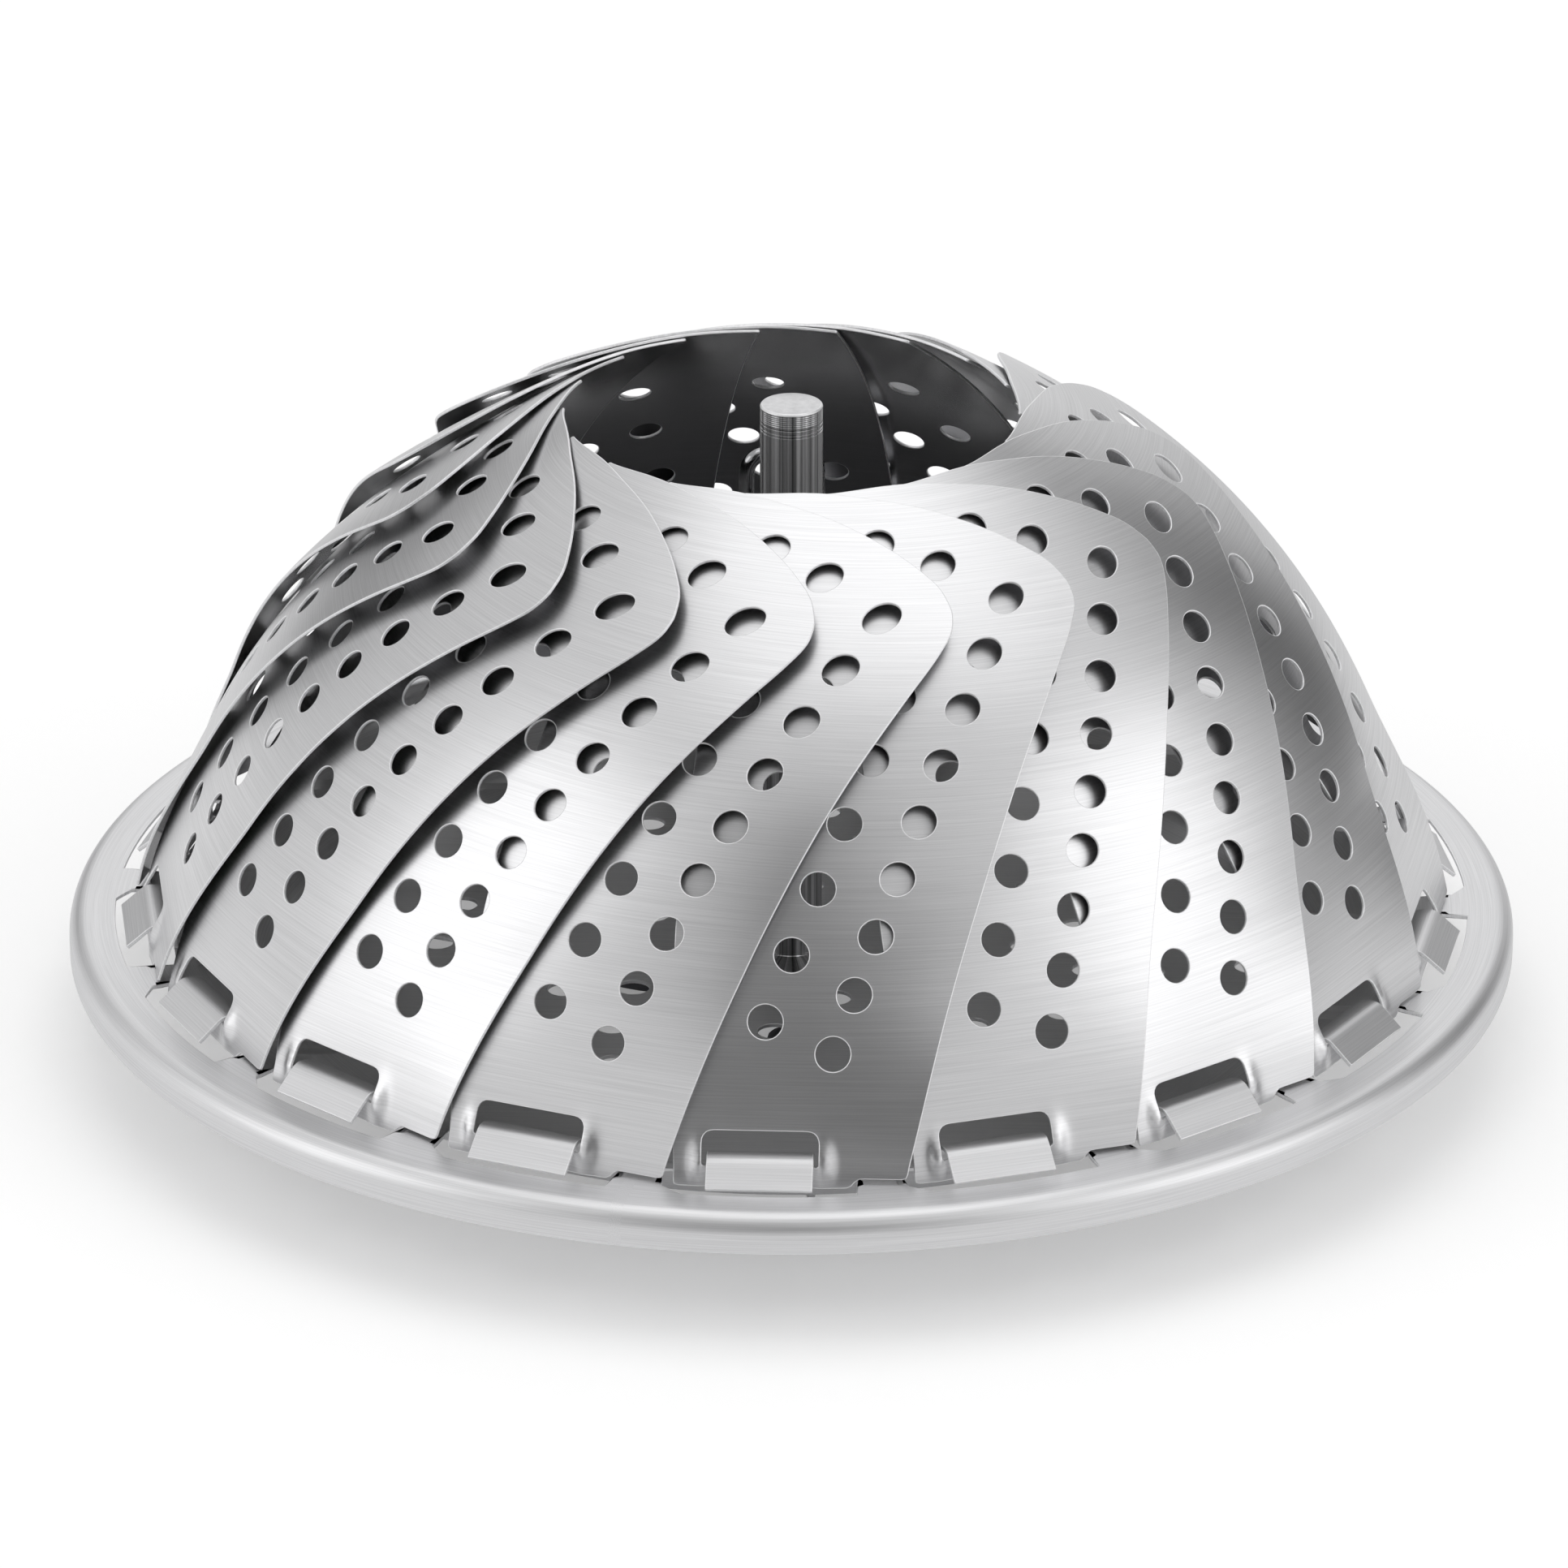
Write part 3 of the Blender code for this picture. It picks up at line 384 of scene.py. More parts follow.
def plate(loops, inner, distance):
    """Triangles of a flat plate bounded by loops, with inner points where they are clear of the loops."""
    inner = inner[crossings(inner, loops) % 2 == 1]
    inner = inner[clear_of(inner, loops, distance)]
    points = np.concatenate(loops + [inner]) / MM
    edges = []
    start = 0
    for loop in loops:
        count = len(loop)
        edges += [(start + i, start + (i + 1) % count) for i in range(count)]
        start += count
    found, _, faces, _, _, _ = delaunay_2d_cdt([Vector(point) for point in points], edges, [], 0, 1e-6)
    flat = np.array([tuple(point) for point in found]) * MM
    faces = np.array(faces)
    middles = flat[faces].mean(axis=1)
    faces = faces[crossings(middles, loops) % 2 == 1]
    a, b, c = (flat[faces[:, i]] for i in range(3))
    area = (b[:, 0] - a[:, 0]) * (c[:, 1] - a[:, 1]) - (b[:, 1] - a[:, 1]) * (c[:, 0] - a[:, 0])
    faces[area < 0] = faces[area < 0][:, ::-1]
    return flat, faces[np.abs(area) > 1e-14]


def hexagonal(low, high, step):
    """Points of a grid whose rows are shifted by half a step."""
    y = np.arange(low[1], high[1], step * math.sqrt(0.75))[:, None]
    x = np.arange(low[0], high[0], step) + np.arange(len(y))[:, None] % 2 * step / 2
    return columns(x, y).reshape(-1, 2)


def add_wall(piece, thickness, offset, edge, inner_material, edge_material):
    """Give an open sheet its thickness and break its edges."""
    wall = piece.modifiers.new("wall", "SOLIDIFY")
    wall.thickness = thickness
    wall.offset = offset
    wall.use_even_offset = True
    wall.material_offset = inner_material
    wall.material_offset_rim = edge_material
    bevel = piece.modifiers.new("edge", "BEVEL")
    bevel.width = edge
    bevel.segments = 2
    bevel.limit_method = "ANGLE"
    bevel.angle_limit = math.radians(50)
    bevel.use_clamp_overlap = False
    bevel.material = edge_material
    bevel.harden_normals = True


def add_turned(name, profile, body, node, materials, sharp_degrees):
    """Add a solid turned about Z from an open profile of (radius, height) that starts and ends on the axis,
    or from a closed one: point (i, j) is the profile's point i, counted from its end, turned by j steps."""
    radius, height = np.array(profile, float)[::-1].T[:, :, None]
    closed = radius[0, 0] > 1e-9
    turn = turns(72)
    points = columns(radius * np.cos(turn), radius * np.sin(turn), height).reshape(-1, 3)
    faces = grid_triangles(len(radius), len(turn), closed_rows=closed, closed_columns=True)
    points, faces, _ = weld(points, faces)
    mesh = new_mesh(name, points, faces)
    mesh.shade_smooth()
    mesh.set_sharp_from_angle(angle=math.radians(sharp_degrees))
    return add_piece(name, mesh, body, [node], materials)


def filleted(profile, radius):
    """A closed profile whose corners are replaced by short curves."""
    return np.concatenate([corner_curve(*corner, radius, 0.45, 4) for corner in corners_of(profile)])


def mend_normals(mesh, open_sheet=False):
    """Turn a closed mesh's faces outwards, or an open sheet's the same way, upwards on its flat parts."""
    shape = bmesh.new()
    shape.from_mesh(mesh)
    if open_sheet:
        bmesh.ops.remove_doubles(shape, verts=shape.verts, dist=2e-6)
    bmesh.ops.recalc_face_normals(shape, faces=shape.faces)
    if open_sheet and sum(face.normal.z * face.calc_area() for face in shape.faces) < 0:
        bmesh.ops.reverse_faces(shape, faces=shape.faces)
    shape.to_mesh(mesh)
    shape.free()


# Finishes

def fill(tree, node, values):
    """Fill a node's inputs, by name or number: a socket is linked, and anything else is the input's value."""
    for key, value in values.items():
        if isinstance(value, bpy.types.NodeSocket):
            tree.links.new(value, node.inputs[key])
        else:
            node.inputs[key].default_value = value
    return node


def add_node(tree, kind, values, operation=None):
    """A new node with its inputs filled."""
    node = tree.nodes.new(kind)
    if operation:
        node.operation = operation
    return fill(tree, node, values)


def mapped(tree, value, from_low, from_high, to_low, to_high, interpolation="LINEAR"):
    """A value carried from one range to another."""
    node = add_node(tree, "ShaderNodeMapRange", {
        "Value": value, "From Min": from_low, "From Max": from_high, "To Min": to_low, "To Max": to_high})
    node.interpolation_type = interpolation
    return node.outputs["Result"]


def scaled(tree, colour, factor):
    """A colour times a factor."""
    return add_node(tree, "ShaderNodeVectorMath", {0: colour, "Scale": factor}, "SCALE").outputs["Vector"]


def scale_colour(material, factor):
    """Put a factor on the colour that a material's shader reads."""
    tree = material.node_tree
    base = tree.nodes["Principled BSDF"].inputs["Base Color"]
    tree.links.new(scaled(tree, base.links[0].from_socket, factor), base)


def brushed_group():
    """Fine lines: noise squeezed along the axis with the largest scale, and a slower noise that lets the
    roughness come and go."""
    group = bpy.data.node_groups.new("brushed_lines", "ShaderNodeTree")
    kinds = {"Vector": "NodeSocketVector", "Colour": "NodeSocketColor"}
    labels = {"INPUT": ("Vector", "Along", "Across", "Third", "Roughness", "Spread", "Colour", "Depth"),
              "OUTPUT": ("Colour", "Roughness", "Height")}
    for side, names in labels.items():
        for name in names:
            kind = kinds.get(name, "NodeSocketFloat")
            group.interface.new_socket(name=name, in_out=side, socket_type=kind)
    given = group.nodes.new("NodeGroupInput").outputs
    scale = add_node(group, "ShaderNodeCombineXYZ",
                     {"X": given["Along"], "Y": given["Across"], "Z": given["Third"]})
    stretched = add_node(group, "ShaderNodeVectorMath",
                         {0: given["Vector"], 1: scale.outputs["Vector"]}, "MULTIPLY")
    fine = add_node(group, "ShaderNodeTexNoise", {
        "Vector": stretched.outputs["Vector"], "Scale": 1.0, "Detail": 3.0, "Roughness": 0.7})
    slow = add_node(group, "ShaderNodeTexNoise", {"Vector": given["Vector"], "Scale": 35.0, "Detail": 2.0})
    spread = add_node(group, "ShaderNodeMath",
                      {0: slow.outputs["Fac"], 1: given["Spread"], 2: given["Roughness"]}, "MULTIPLY_ADD")
    height = add_node(group, "ShaderNodeMath", {0: fine.outputs["Fac"], 1: given["Depth"]}, "MULTIPLY")
    tint = mapped(group, fine.outputs["Fac"], 0.3, 0.7, 0.88, 1.06)
    add_node(group, "NodeGroupOutput", {
        "Colour": scaled(group, given["Colour"], tint), "Roughness": spread.outputs["Value"],
        "Height": height.outputs["Value"]})
    return group


BRUSHED = brushed_group()


def new_material(name):
    """A material and its nodes."""
    material = bpy.data.materials.new(name)
    material.use_nodes = True
    return material, material.node_tree


def steel(name, colour, roughness, scales=(40.0, 5000.0, 40.0), spread=0.08, depth=0.25, metallic=1.0,
          coordinate="UV"):
    """Metal with fine lines, whose scales are those on X, Y and Z."""
    material, tree = new_material(name)
    place = tree.nodes.new("ShaderNodeTexCoord")
    lines = tree.nodes.new("ShaderNodeGroup")
    lines.node_tree = BRUSHED
    along, across, third = scales
    fill(tree, lines, {
        "Vector": place.outputs[coordinate], "Along": along, "Across": across, "Third": third,
        "Roughness": roughness, "Spread": spread, "Colour": (*colour, 1.0), "Depth": depth})
    bump = add_node(tree, "ShaderNodeBump", {
        "Strength": 0.5, "Distance": 0.02 * MM, "Height": lines.outputs["Height"]})
    fill(tree, tree.nodes["Principled BSDF"], {
        "Metallic": metallic, "Base Color": lines.outputs["Colour"],
        "Roughness": lines.outputs["Roughness"], "Normal": bump.outputs["Normal"]})
    return material


def grained(name, colour, roughness, scale, depth, metallic=1.0):
    """Metal or silicone with an even grain."""
    return steel(name, colour, roughness, (scale, scale, scale), depth=depth, metallic=metallic,
                 coordinate="Object")


def painted_highlight_edge(name, colour):
    """The edge where sheet was cut, lighter than the sheet and partly non-metal, so that it shows as a bright
    line: a painted highlight.
    """
    return steel(name, colour, 0.35, spread=0.04, depth=0.05, metallic=0.4)


# Petals

def dome_radius(height, sizes):
    """Radius on a petal's centre line: it falls with the height, its square and its fourth power."""
    share = height / sizes.height
    risen = np.maximum(share, 0)
    slope_share, bend_share, tip_share = PROFILE_SHARES
    fall = slope_share * share + bend_share * risen ** 2 + tip_share * risen ** 4
    return HINGE_RADIUS - (HINGE_RADIUS - sizes.top_radius) * fall


def smooth_rise(share, limits):
    """Goes smoothly from nothing at the first limit to one at the second."""
    low, high = limits
    step = np.clip((share - low) / (high - low), 0, 1)
    return step * step * (3 - 2 * step)


class Sheet:
    """A petal's bent sheet: lengths run up its centre line from the hinge axis."""

    def __init__(self, sizes):
        self.sizes = sizes
        self.heights = np.linspace(-2 * sizes.strip_below, sizes.height, 400)
        lengths = reach_along(columns(self.heights, dome_radius(self.heights, sizes)))
        self.lengths = lengths - np.interp(0.0, self.heights, lengths)
        self.length = float(self.lengths[-1])

    def height_at(self, length):
        """Height over the hinge axis."""
        return np.interp(length, self.lengths, self.heights)

    def left_edge(self, length):
        """Hidden left edge: just inside the plane halfway to the next petal."""
        height = self.height_at(length)
        shares, degrees = np.array(LEFT_EDGE_DEGREES).T
        angle = np.radians(np.interp(height / self.sizes.height, shares, degrees))
        return -dome_radius(height, self.sizes) * np.tan(angle)

    def right_edge(self, length):
        """Right edge, from the foot out to the shoulder."""
        spread = through(RIGHT_EDGE_SHARES, length / self.length)
        return self.sizes.foot_reach + spread * (self.sizes.shoulder_reach - self.sizes.foot_reach)

    def bent(self, x, length):
        """The flat sheet's points in the petal's own space (tangent, outwards, up): the dome's profile,
        crowned across, lifted on the right, and pressed out beside the slot."""
        sizes = self.sizes
        height = self.height_at(length)
        share = height / sizes.height
        dome = dome_radius(height, sizes)
        lift = smooth_rise(share, LIFT_RAMP_SHARES) * sizes.lift * x
        crown = smooth_rise(share, CROWN_RAMP_SHARES) * sizes.crown * x * x / (2 * dome)
        radius = dome + lift - crown
        half = sizes.slot_width / 2
        for side, wide, reach in BULGES:
            away = (x * side - half - 0.4 * wide) / wide
            up = (length - 1.0 * MM) / reach
            radius = radius + sizes.bulge * np.exp(-away ** 2 - up ** 2)
        return columns(x, radius, height)

    def outline(self):
        """The flat outline as (x, length), anticlockwise from the hinge strip's left end."""
        sizes = self.sizes
        low = -sizes.strip_below
        corner = -sizes.corner_below
        shoulder = RIGHT_EDGE_SHARES[-1][0] * self.length
        right = np.linspace(corner, shoulder, 200)
        across = np.linspace(1, 0, 120)
        top = through(TOP_EDGE_SHARES, across) * self.length
        top_x = self.left_edge(top) + across * (self.right_edge(top) - self.left_edge(top))
        left = np.linspace(self.length, low, 200)
        foot = ((float(self.left_edge(low)), low), (sizes.strip_half, low),
                (sizes.strip_half + 0.7 * MM, corner), (sizes.foot_reach, corner))
        line = np.concatenate((foot, columns(self.right_edge(right), right)[1:],
                               columns(top_x, top), columns(self.left_edge(left), left)[1:]))
        loop = spaced(line, int(reach_along(line)[-1] / (0.35 * MM)))[:-1]
        return softened(loop, 3)[::2]

    def slot(self):
        """The slot that the tab passes through, round in its upper corners."""
        sizes = self.sizes
        half = sizes.slot_width / 2
        corners = ((-half, sizes.strip_above), (half, sizes.strip_above), (half, sizes.slot_top),
                   (-half, sizes.slot_top))
        small = 0.3 * MM
        return rounded_corners(corners, (small, small, sizes.slot_corner, sizes.slot_corner), 0.45 * MM)

    def holes(self):
        """Centres of the steam holes as (x, length)."""
        centers = []
        for count, start, end in HOLE_ROW_SHARES:
            share = np.linspace(0, 1, count) if count > 1 else np.zeros(1)
            x = self.sizes.shoulder_reach * (start[0] + share * (end[0] - start[0]))
            length = self.length * (start[1] + share * (end[1] - start[1]))
            centers += list(zip(x, length))
        return centers


def paint_inside_shade(material, reach):
    """Painted shade on the inner sides, which see one another many times over: rays other than the camera's
    find the colour darker, a fifth of it on the left and all of it towards the right edge, where light gets
    in under the sheet."""
    tree = material.node_tree
    place = tree.nodes.new("ShaderNodeUVMap")
    place.uv_map = "place"
    parts = add_node(tree, "ShaderNodeSeparateXYZ", {"Vector": place.outputs["UV"]})
    # Painted shade: a fifth of the colour on the left, where the petals cover one another, up to all of it on
    # the right.
    mirrored = mapped(tree, parts.outputs["X"], 0.25 * reach, 0.75 * reach, 0.2, 1.0, "SMOOTHSTEP")
    rays = tree.nodes.new("ShaderNodeLightPath")
    seen = add_node(tree, "ShaderNodeMath", {0: rays.outputs["Is Camera Ray"], 1: mirrored}, "MAXIMUM")
    scale_colour(material, seen.outputs["Value"])


class STEAMER_OT_petals(bpy.types.Operator):
    """Make the pierced petals"""
    bl_idname = "steamer.petals"
    bl_label = "Petals"

    def execute(self, context):
        sizes = context.scene.steamer_petal
        colours = context.scene.steamer_finish
        outer = steel("petal_outside", colours.steel, 0.31)
        # The inner side is painted darker than the outer: painted shade.
        inner = steel("petal_inside_painted_shade", colours.steel_inside_painted_shade, 0.2)
        paint_inside_shade(inner, sizes.shoulder_reach)
        # The petals' cut edges carry a painted highlight.
        edge = painted_highlight_edge("petal_edge_painted_highlight", colours.edge)
        sheet = Sheet(sizes)
        loops = [sheet.outline(), sheet.slot()]
        loops += [circle(center, sizes.hole_radius, 28) for center in sheet.holes()]
        low, high = loops[0].min(axis=0), loops[0].max(axis=0)
        coarse = hexagonal(low, high, PETAL_GRID)
        reach = np.array((sizes.slot_width / 2, sizes.slot_top)) + SLOT_MARGIN
        fine = hexagonal((-reach[0], low[1]), reach, SLOT_GRID)
        near = (np.abs(coarse[:, 0]) < reach[0]) & (coarse[:, 1] < reach[1])
        coarse = coarse[~near & clear_of(coarse, loops, distance=0.7 * MM)]
        flat, faces = plate(loops, np.concatenate((coarse, fine)), distance=0.35 * MM)
        local = sheet.bent(flat[:, 0], flat[:, 1])
        local[:, 2] += AXIS_HEIGHT
        for index, name in enumerate(PETAL_NAMES):
            points = local @ axes_at(FIRST_ANGLE + index * PITCH)
            uv = flat + np.array((0.5 * index, 0.13 * index))
            mesh = new_mesh(name + "_sheet", points, faces, uv=uv, place=flat)
            piece = add_piece(name + "_sheet", mesh, name + "_leaf", [name],
                              [outer, inner, edge])
            add_wall(piece, sizes.sheet, 0.0, sizes.edge, inner_material=1, edge_material=2)
        return {"FINISHED"}


# Pan

def pan_path(sizes):
    """The pan's upper side from the floor to the skirt as (radius, height), with round bends."""
    top = PAN_FLANGE
    floor = top - sizes.depth
    flange_inner = HINGE_RADIUS - sizes.window_in - sizes.inner_lip
    floor_outer = flange_inner - sizes.wall_run
    corners = np.array(((floor_outer - FLOOR_STRIP, floor), (floor_outer, floor), (flange_inner, top),
                        (HINGE_RADIUS + sizes.window_out, top)))
    bends = [corner_curve(*corners[i:i + 3], sizes.bend / 2, 0.5, 6) for i in (0, 1)]
    flange = np.linspace(bends[1][-1, 0], PAN_RIM - sizes.roll, 13)[1:]
    turn = np.linspace(0, math.pi / 2, 11)[1:]
    roll = columns(PAN_RIM - sizes.roll * (1 - np.sin(turn)), top - sizes.roll * (1 - np.cos(turn)))
    skirt = ((PAN_RIM, top - (sizes.roll + sizes.skirt) / 2), (PAN_RIM, top - sizes.skirt))
    return np.concatenate((corners[:1], *bends, columns(flange, top), roll, skirt))


def window_loop(sizes):
    """A window of the flange as (tangent, inwards): straight inside with a notch at each side of the tab that
    grows from it, round outside, with one corner cut off."""
    half, inner, tab_half = sizes.window_half, sizes.window_in, sizes.tab_half
    root = TAB_PATH[0][0] * MM
    notch, notch_end = tab_half + 0.35 * MM, root + 0.25 * MM
    left = ((-half, inner), (-notch, inner), (-notch, notch_end), (-tab_half, notch_end))
    right = [(-x, y) for x, y in left[::-1]]
    tab = columns(np.linspace(-tab_half, tab_half, TAB_POINTS), root)
    x = np.linspace(half, -half, 30)
    y = HINGE_RADIUS - np.sqrt((HINGE_RADIUS + sizes.window_out) ** 2 - x ** 2)
    fall = 1 - np.clip((x + half) / sizes.window_chamfer, 0, 1)
    return np.concatenate((left, tab, right, columns(x, y + fall * sizes.window_chamfer * 0.8)))


def pan_strip(sizes, path, reach):
    """One petal's share of the wall, the flange and the rim, laid flat as (arc at the hinge, length down the
    path): its points and triangles."""
    spans = np.linspace(-PITCH / 2, PITCH / 2, STRIP_COLUMNS + 1) * HINGE_RADIUS
    sides = ((spans, reach[0]), (spans[-1], reach), (spans[::-1], reach[-1]), (spans[0], reach[::-1]))
    border = np.concatenate([columns(*side)[:-1] for side in sides])
    window = window_loop(sizes)
    out = HINGE_RADIUS - window[:, 1]
    flange_row = int(np.argmax(path[:, 1] >= PAN_FLANGE - 1e-7))
    down = reach[flange_row] + np.hypot(window[:, 0], out) - path[flange_row, 0]
    window = columns(np.arctan2(window[:, 0], out) * HINGE_RADIUS, down)
    inner = columns(spans[1:-1], reach[1:-1, None]).reshape(-1, 2)
    return plate([border, window], inner, distance=0.3 * MM)


def hinge_tab(sizes):
    """A tab's top face in the petal's own space: its points, triangles and the uv of its lines."""
    x = np.linspace(-sizes.tab_half, sizes.tab_half, TAB_POINTS)
    path = np.array(TAB_PATH) * MM
    reach = reach_along(path)
    fine = np.linspace(0, reach[-1], 400)
    line = spaced(columns(*(through(columns(reach, column), fine) for column in path.T)), TAB_ROWS)
    points = columns(x, HINGE_RADIUS - line[:, 0:1], PAN_FLANGE + line[:, 1:2]).reshape(-1, 3)
    unrolled = 10 * MM
    uv = columns(points[:, 0], np.repeat(np.linspace(0, unrolled, TAB_ROWS), TAB_POINTS))
    return points, grid_triangles(TAB_ROWS, TAB_POINTS), uv


class STEAMER_OT_pan(bpy.types.Operator):
    """Make the pan with its windows and hinge tabs"""
    bl_idname = "steamer.pan"
    bl_label = "Pan"

    def execute(self, context):
        sizes = context.scene.steamer_pan
        colours = context.scene.steamer_finish
        path = pan_path(sizes)
        reach = reach_along(path)
        flat, faces = pan_strip(sizes, path, reach)
        radius, height = (np.interp(flat[:, 1], reach, column) for column in path.T)
        tab, tab_faces, tab_uv = hinge_tab(sizes)
        parts = []
        for index in range(PETAL_COUNT):
            angle = FIRST_ANGLE + index * PITCH
            turn = angle + flat[:, 0] / HINGE_RADIUS
            strip = columns(radius * np.cos(turn), radius * np.sin(turn), height)
            parts.append((strip, faces, columns(turn * HINGE_RADIUS, flat[:, 1])))
            parts.append((tab @ axes_at(angle), tab_faces, tab_uv))
        disc, disc_faces = pan_floor(sizes, path[0, 0])
        parts.append((columns(disc[:, 0], disc[:, 1], path[0, 1]), disc_faces, disc))
        starts = np.cumsum([0] + [len(points) for points, _, _ in parts])
        points, triangles, uv = weld(
            np.concatenate([points for points, _, _ in parts]),
            np.concatenate([triangles + start for (_, triangles, _), start in zip(parts, starts)]),
            np.concatenate([uv for _, _, uv in parts]), tolerance=4e-6)
        mesh = new_mesh("pan", points, triangles, uv=uv)
        # The pan's cut edges carry a painted highlight.
        finishes = [steel("pan_outside", colours.steel, 0.42), painted_highlight_edge("pan_edge_painted_highlight", colours.edge)]
        piece = add_piece("pan_sheet", mesh, "pan", ["base_pan"], finishes)
        mend_normals(mesh, open_sheet=True)
        add_wall(piece, sizes.sheet, -1.0, sizes.edge, inner_material=0, edge_material=1)
        return {"FINISHED"}


def pan_floor(sizes, radius):
    """The pan's flat floor: a disc whose rim matches the wall's foot, with rings of holes."""
    rim = FIRST_ANGLE - PITCH / 2 + np.arange(PETAL_COUNT * STRIP_COLUMNS) * PITCH / STRIP_COLUMNS
    post_hole = 2.8 * MM
    loops = [radius * columns(np.cos(rim), np.sin(rim)), circle((0, 0), post_hole, 40)]
    for share, count, first in FLOOR_RINGS:
        for turn in math.radians(first) + turns(count):
            center = share * (radius + FLOOR_STRIP) * np.array((math.cos(turn), math.sin(turn)))
            if not near_leg(center):
                loops.append(circle(center, sizes.hole_radius, 24))
    return plate(loops, hexagonal((-radius, -radius), (radius, radius), FLOOR_GRID), distance=0.8 * MM)


def near_leg(center):
    """Whether a floor hole would lie over a leg's bracket."""
    for name in LEG_NAMES:
        low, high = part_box(name.replace("leg_", "leg_bracket_"))
        middle = (low + high) / 2
        if math.hypot(center[0] - middle.x, center[1] - middle.y) < LEG_CLEARANCE:
            return True
    return False


# Post, rod and ring

def add_painted_reflections(material):
    """Painted reflections: light and dark streaks down a round piece, noise read on the unit circle of the
    piece's X and Y, in place of what the polished metal mirrors.
    """
    tree = material.node_tree
    place = tree.nodes.new("ShaderNodeTexCoord")
    flat = add_node(tree, "ShaderNodeVectorMath", {0: place.outputs["Object"], 1: (1, 1, 0)}, "MULTIPLY")
    unit = add_node(tree, "ShaderNodeVectorMath", {0: flat.outputs["Vector"]}, "NORMALIZE")
    painted_streaks = add_node(tree, "ShaderNodeTexNoise", {
        "Vector": unit.outputs["Vector"], "Scale": 2.6, "Detail": 6.0, "Roughness": 0.75})
    # Painted reflection: the colour runs from 0.12 to 1.8 times itself in streaks.
    scale_colour(material, mapped(tree, painted_streaks.outputs["Fac"], 0.40, 0.62, 0.12, 1.8))


class STEAMER_OT_post(bpy.types.Operator):
    """Make the post, its head, cap, rod and ring"""
    bl_idname = "steamer.post"
    bl_label = "Post and ring"

    def execute(self, context):
        colours = context.scene.steamer_finish
        dark = steel("post_polished", colours.post, 0.18, (1200, 1200, 20), depth=0.5, metallic=0.6,
                     coordinate="Object")
        # The post, its head and the cap's side carry painted reflections in streaks.
        add_painted_reflections(dark)
        bright = grained("cap_turned", colours.cap, 0.3, 900, 0.1)
        # The cap's rim carries a painted highlight.
        rim = grained("cap_rim_painted_highlight", colours.edge, 0.3, 900, 0.05, metallic=0.4)
        zinc = grained("zinc_plate", colours.zinc, 0.35, 700, 0.2)
        make_tube(dark)
        make_head(dark)
        make_cap([bright, rim, dark])
        make_ring(grained("ring_wire", colours.wire, 0.12, 300, 0.05))
        finish_node("post_rod", bright)
        for name in ("post_bush", "post_washer", "post_nut"):
            finish_node(name, zinc)
        return {"FINISHED"}


def finish_node(name, material):
    """Give a node that keeps its shape a finished material."""
    node = frame["nodes"][name]
    node.data.materials.clear()
    node.data.materials.append(material)


def make_tube(material):
    """The tube with its flared foot."""
    bore = POST_RADIUS - 0.8 * MM
    low, high = TUBE_LOW.z, TUBE_HIGH.z
    seat = PAN_FLANGE - PAN_DEPTH + 0.3 * MM
    foot, thread, core = 8.5 * MM, 2.5 * MM, 0.3 * MM
    profile = filleted((
        (bore, high), (POST_RADIUS, high), (POST_RADIUS, seat + 1.6 * MM),
        (foot - 0.5 * MM, seat + 1.28 * MM), (foot, seat + 0.8 * MM), (foot, seat), (thread, seat),
        (thread, low), (core, low), (core, seat + 2.5 * MM), (bore, seat + 2.5 * MM)), radius=0.35 * MM)
    add_turned("post_tube_turned", profile, "pan", "post_tube", [material], 40)


def grooves(top, drops, half, depth):
    """Points of fine grooves round the post, each at a drop below the top."""
    outer = POST_RADIUS
    return [point for at in top - np.array(drops)
            for point in ((outer, at + half), (outer - depth, at), (outer, at - half))]


def make_head(material):
    """The head with two fine grooves; it ends just below the cap."""
    bore = 2.3 * MM
    low, high = HEAD_LOW.z, CAP_HIGH.z - CAP_HEIGHT - 0.1 * MM
    profile = [(bore, high), (POST_RADIUS - 0.1 * MM, high), (POST_RADIUS, high - 0.08 * MM)]
    profile += grooves(high, (0.55 * MM, 0.95 * MM), 0.1 * MM, 0.14 * MM)
    profile += [(POST_RADIUS, low + 0.15 * MM), (POST_RADIUS - 0.15 * MM, low), (bore, low)]
    add_turned("post_head_turned", profile, "lift_rod", "post_head", [material], 25)


def make_cap(materials):
    """The cap: a flat disc, a broken edge made bright by a painted highlight, and fine ridges down the side,
    each with its finish.
    """
    top, low, stem = CAP_HIGH.z, CAP_HIGH.z - CAP_HEIGHT, 1.6 * MM
    profile = [(0.0, top), (POST_RADIUS - 0.26 * MM, top), (POST_RADIUS - 0.18 * MM, top - 0.03 * MM),
               (POST_RADIUS - 0.05 * MM, top - 0.16 * MM), (POST_RADIUS, top - 0.28 * MM)]
    profile += grooves(top, [(0.5 + 0.25 * i) * MM for i in range(6)], 0.06 * MM, 0.05 * MM)
    profile += [(POST_RADIUS, low), (stem, low), (stem, CAP_LOW.z), (0.0, CAP_LOW.z)]
    mesh = add_turned("post_cap_turned", profile, "lift_rod", "post_cap", materials, 25).data
    centers = np.empty(len(mesh.polygons) * 3, np.float32)
    mesh.polygons.foreach_get("center", centers)
    drop = top - centers[2::3]
    finish = (drop > 0.005 * MM).astype(np.int32) + (drop > 0.26 * MM).astype(np.int32)
    mesh.polygons.foreach_set("material_index", finish)


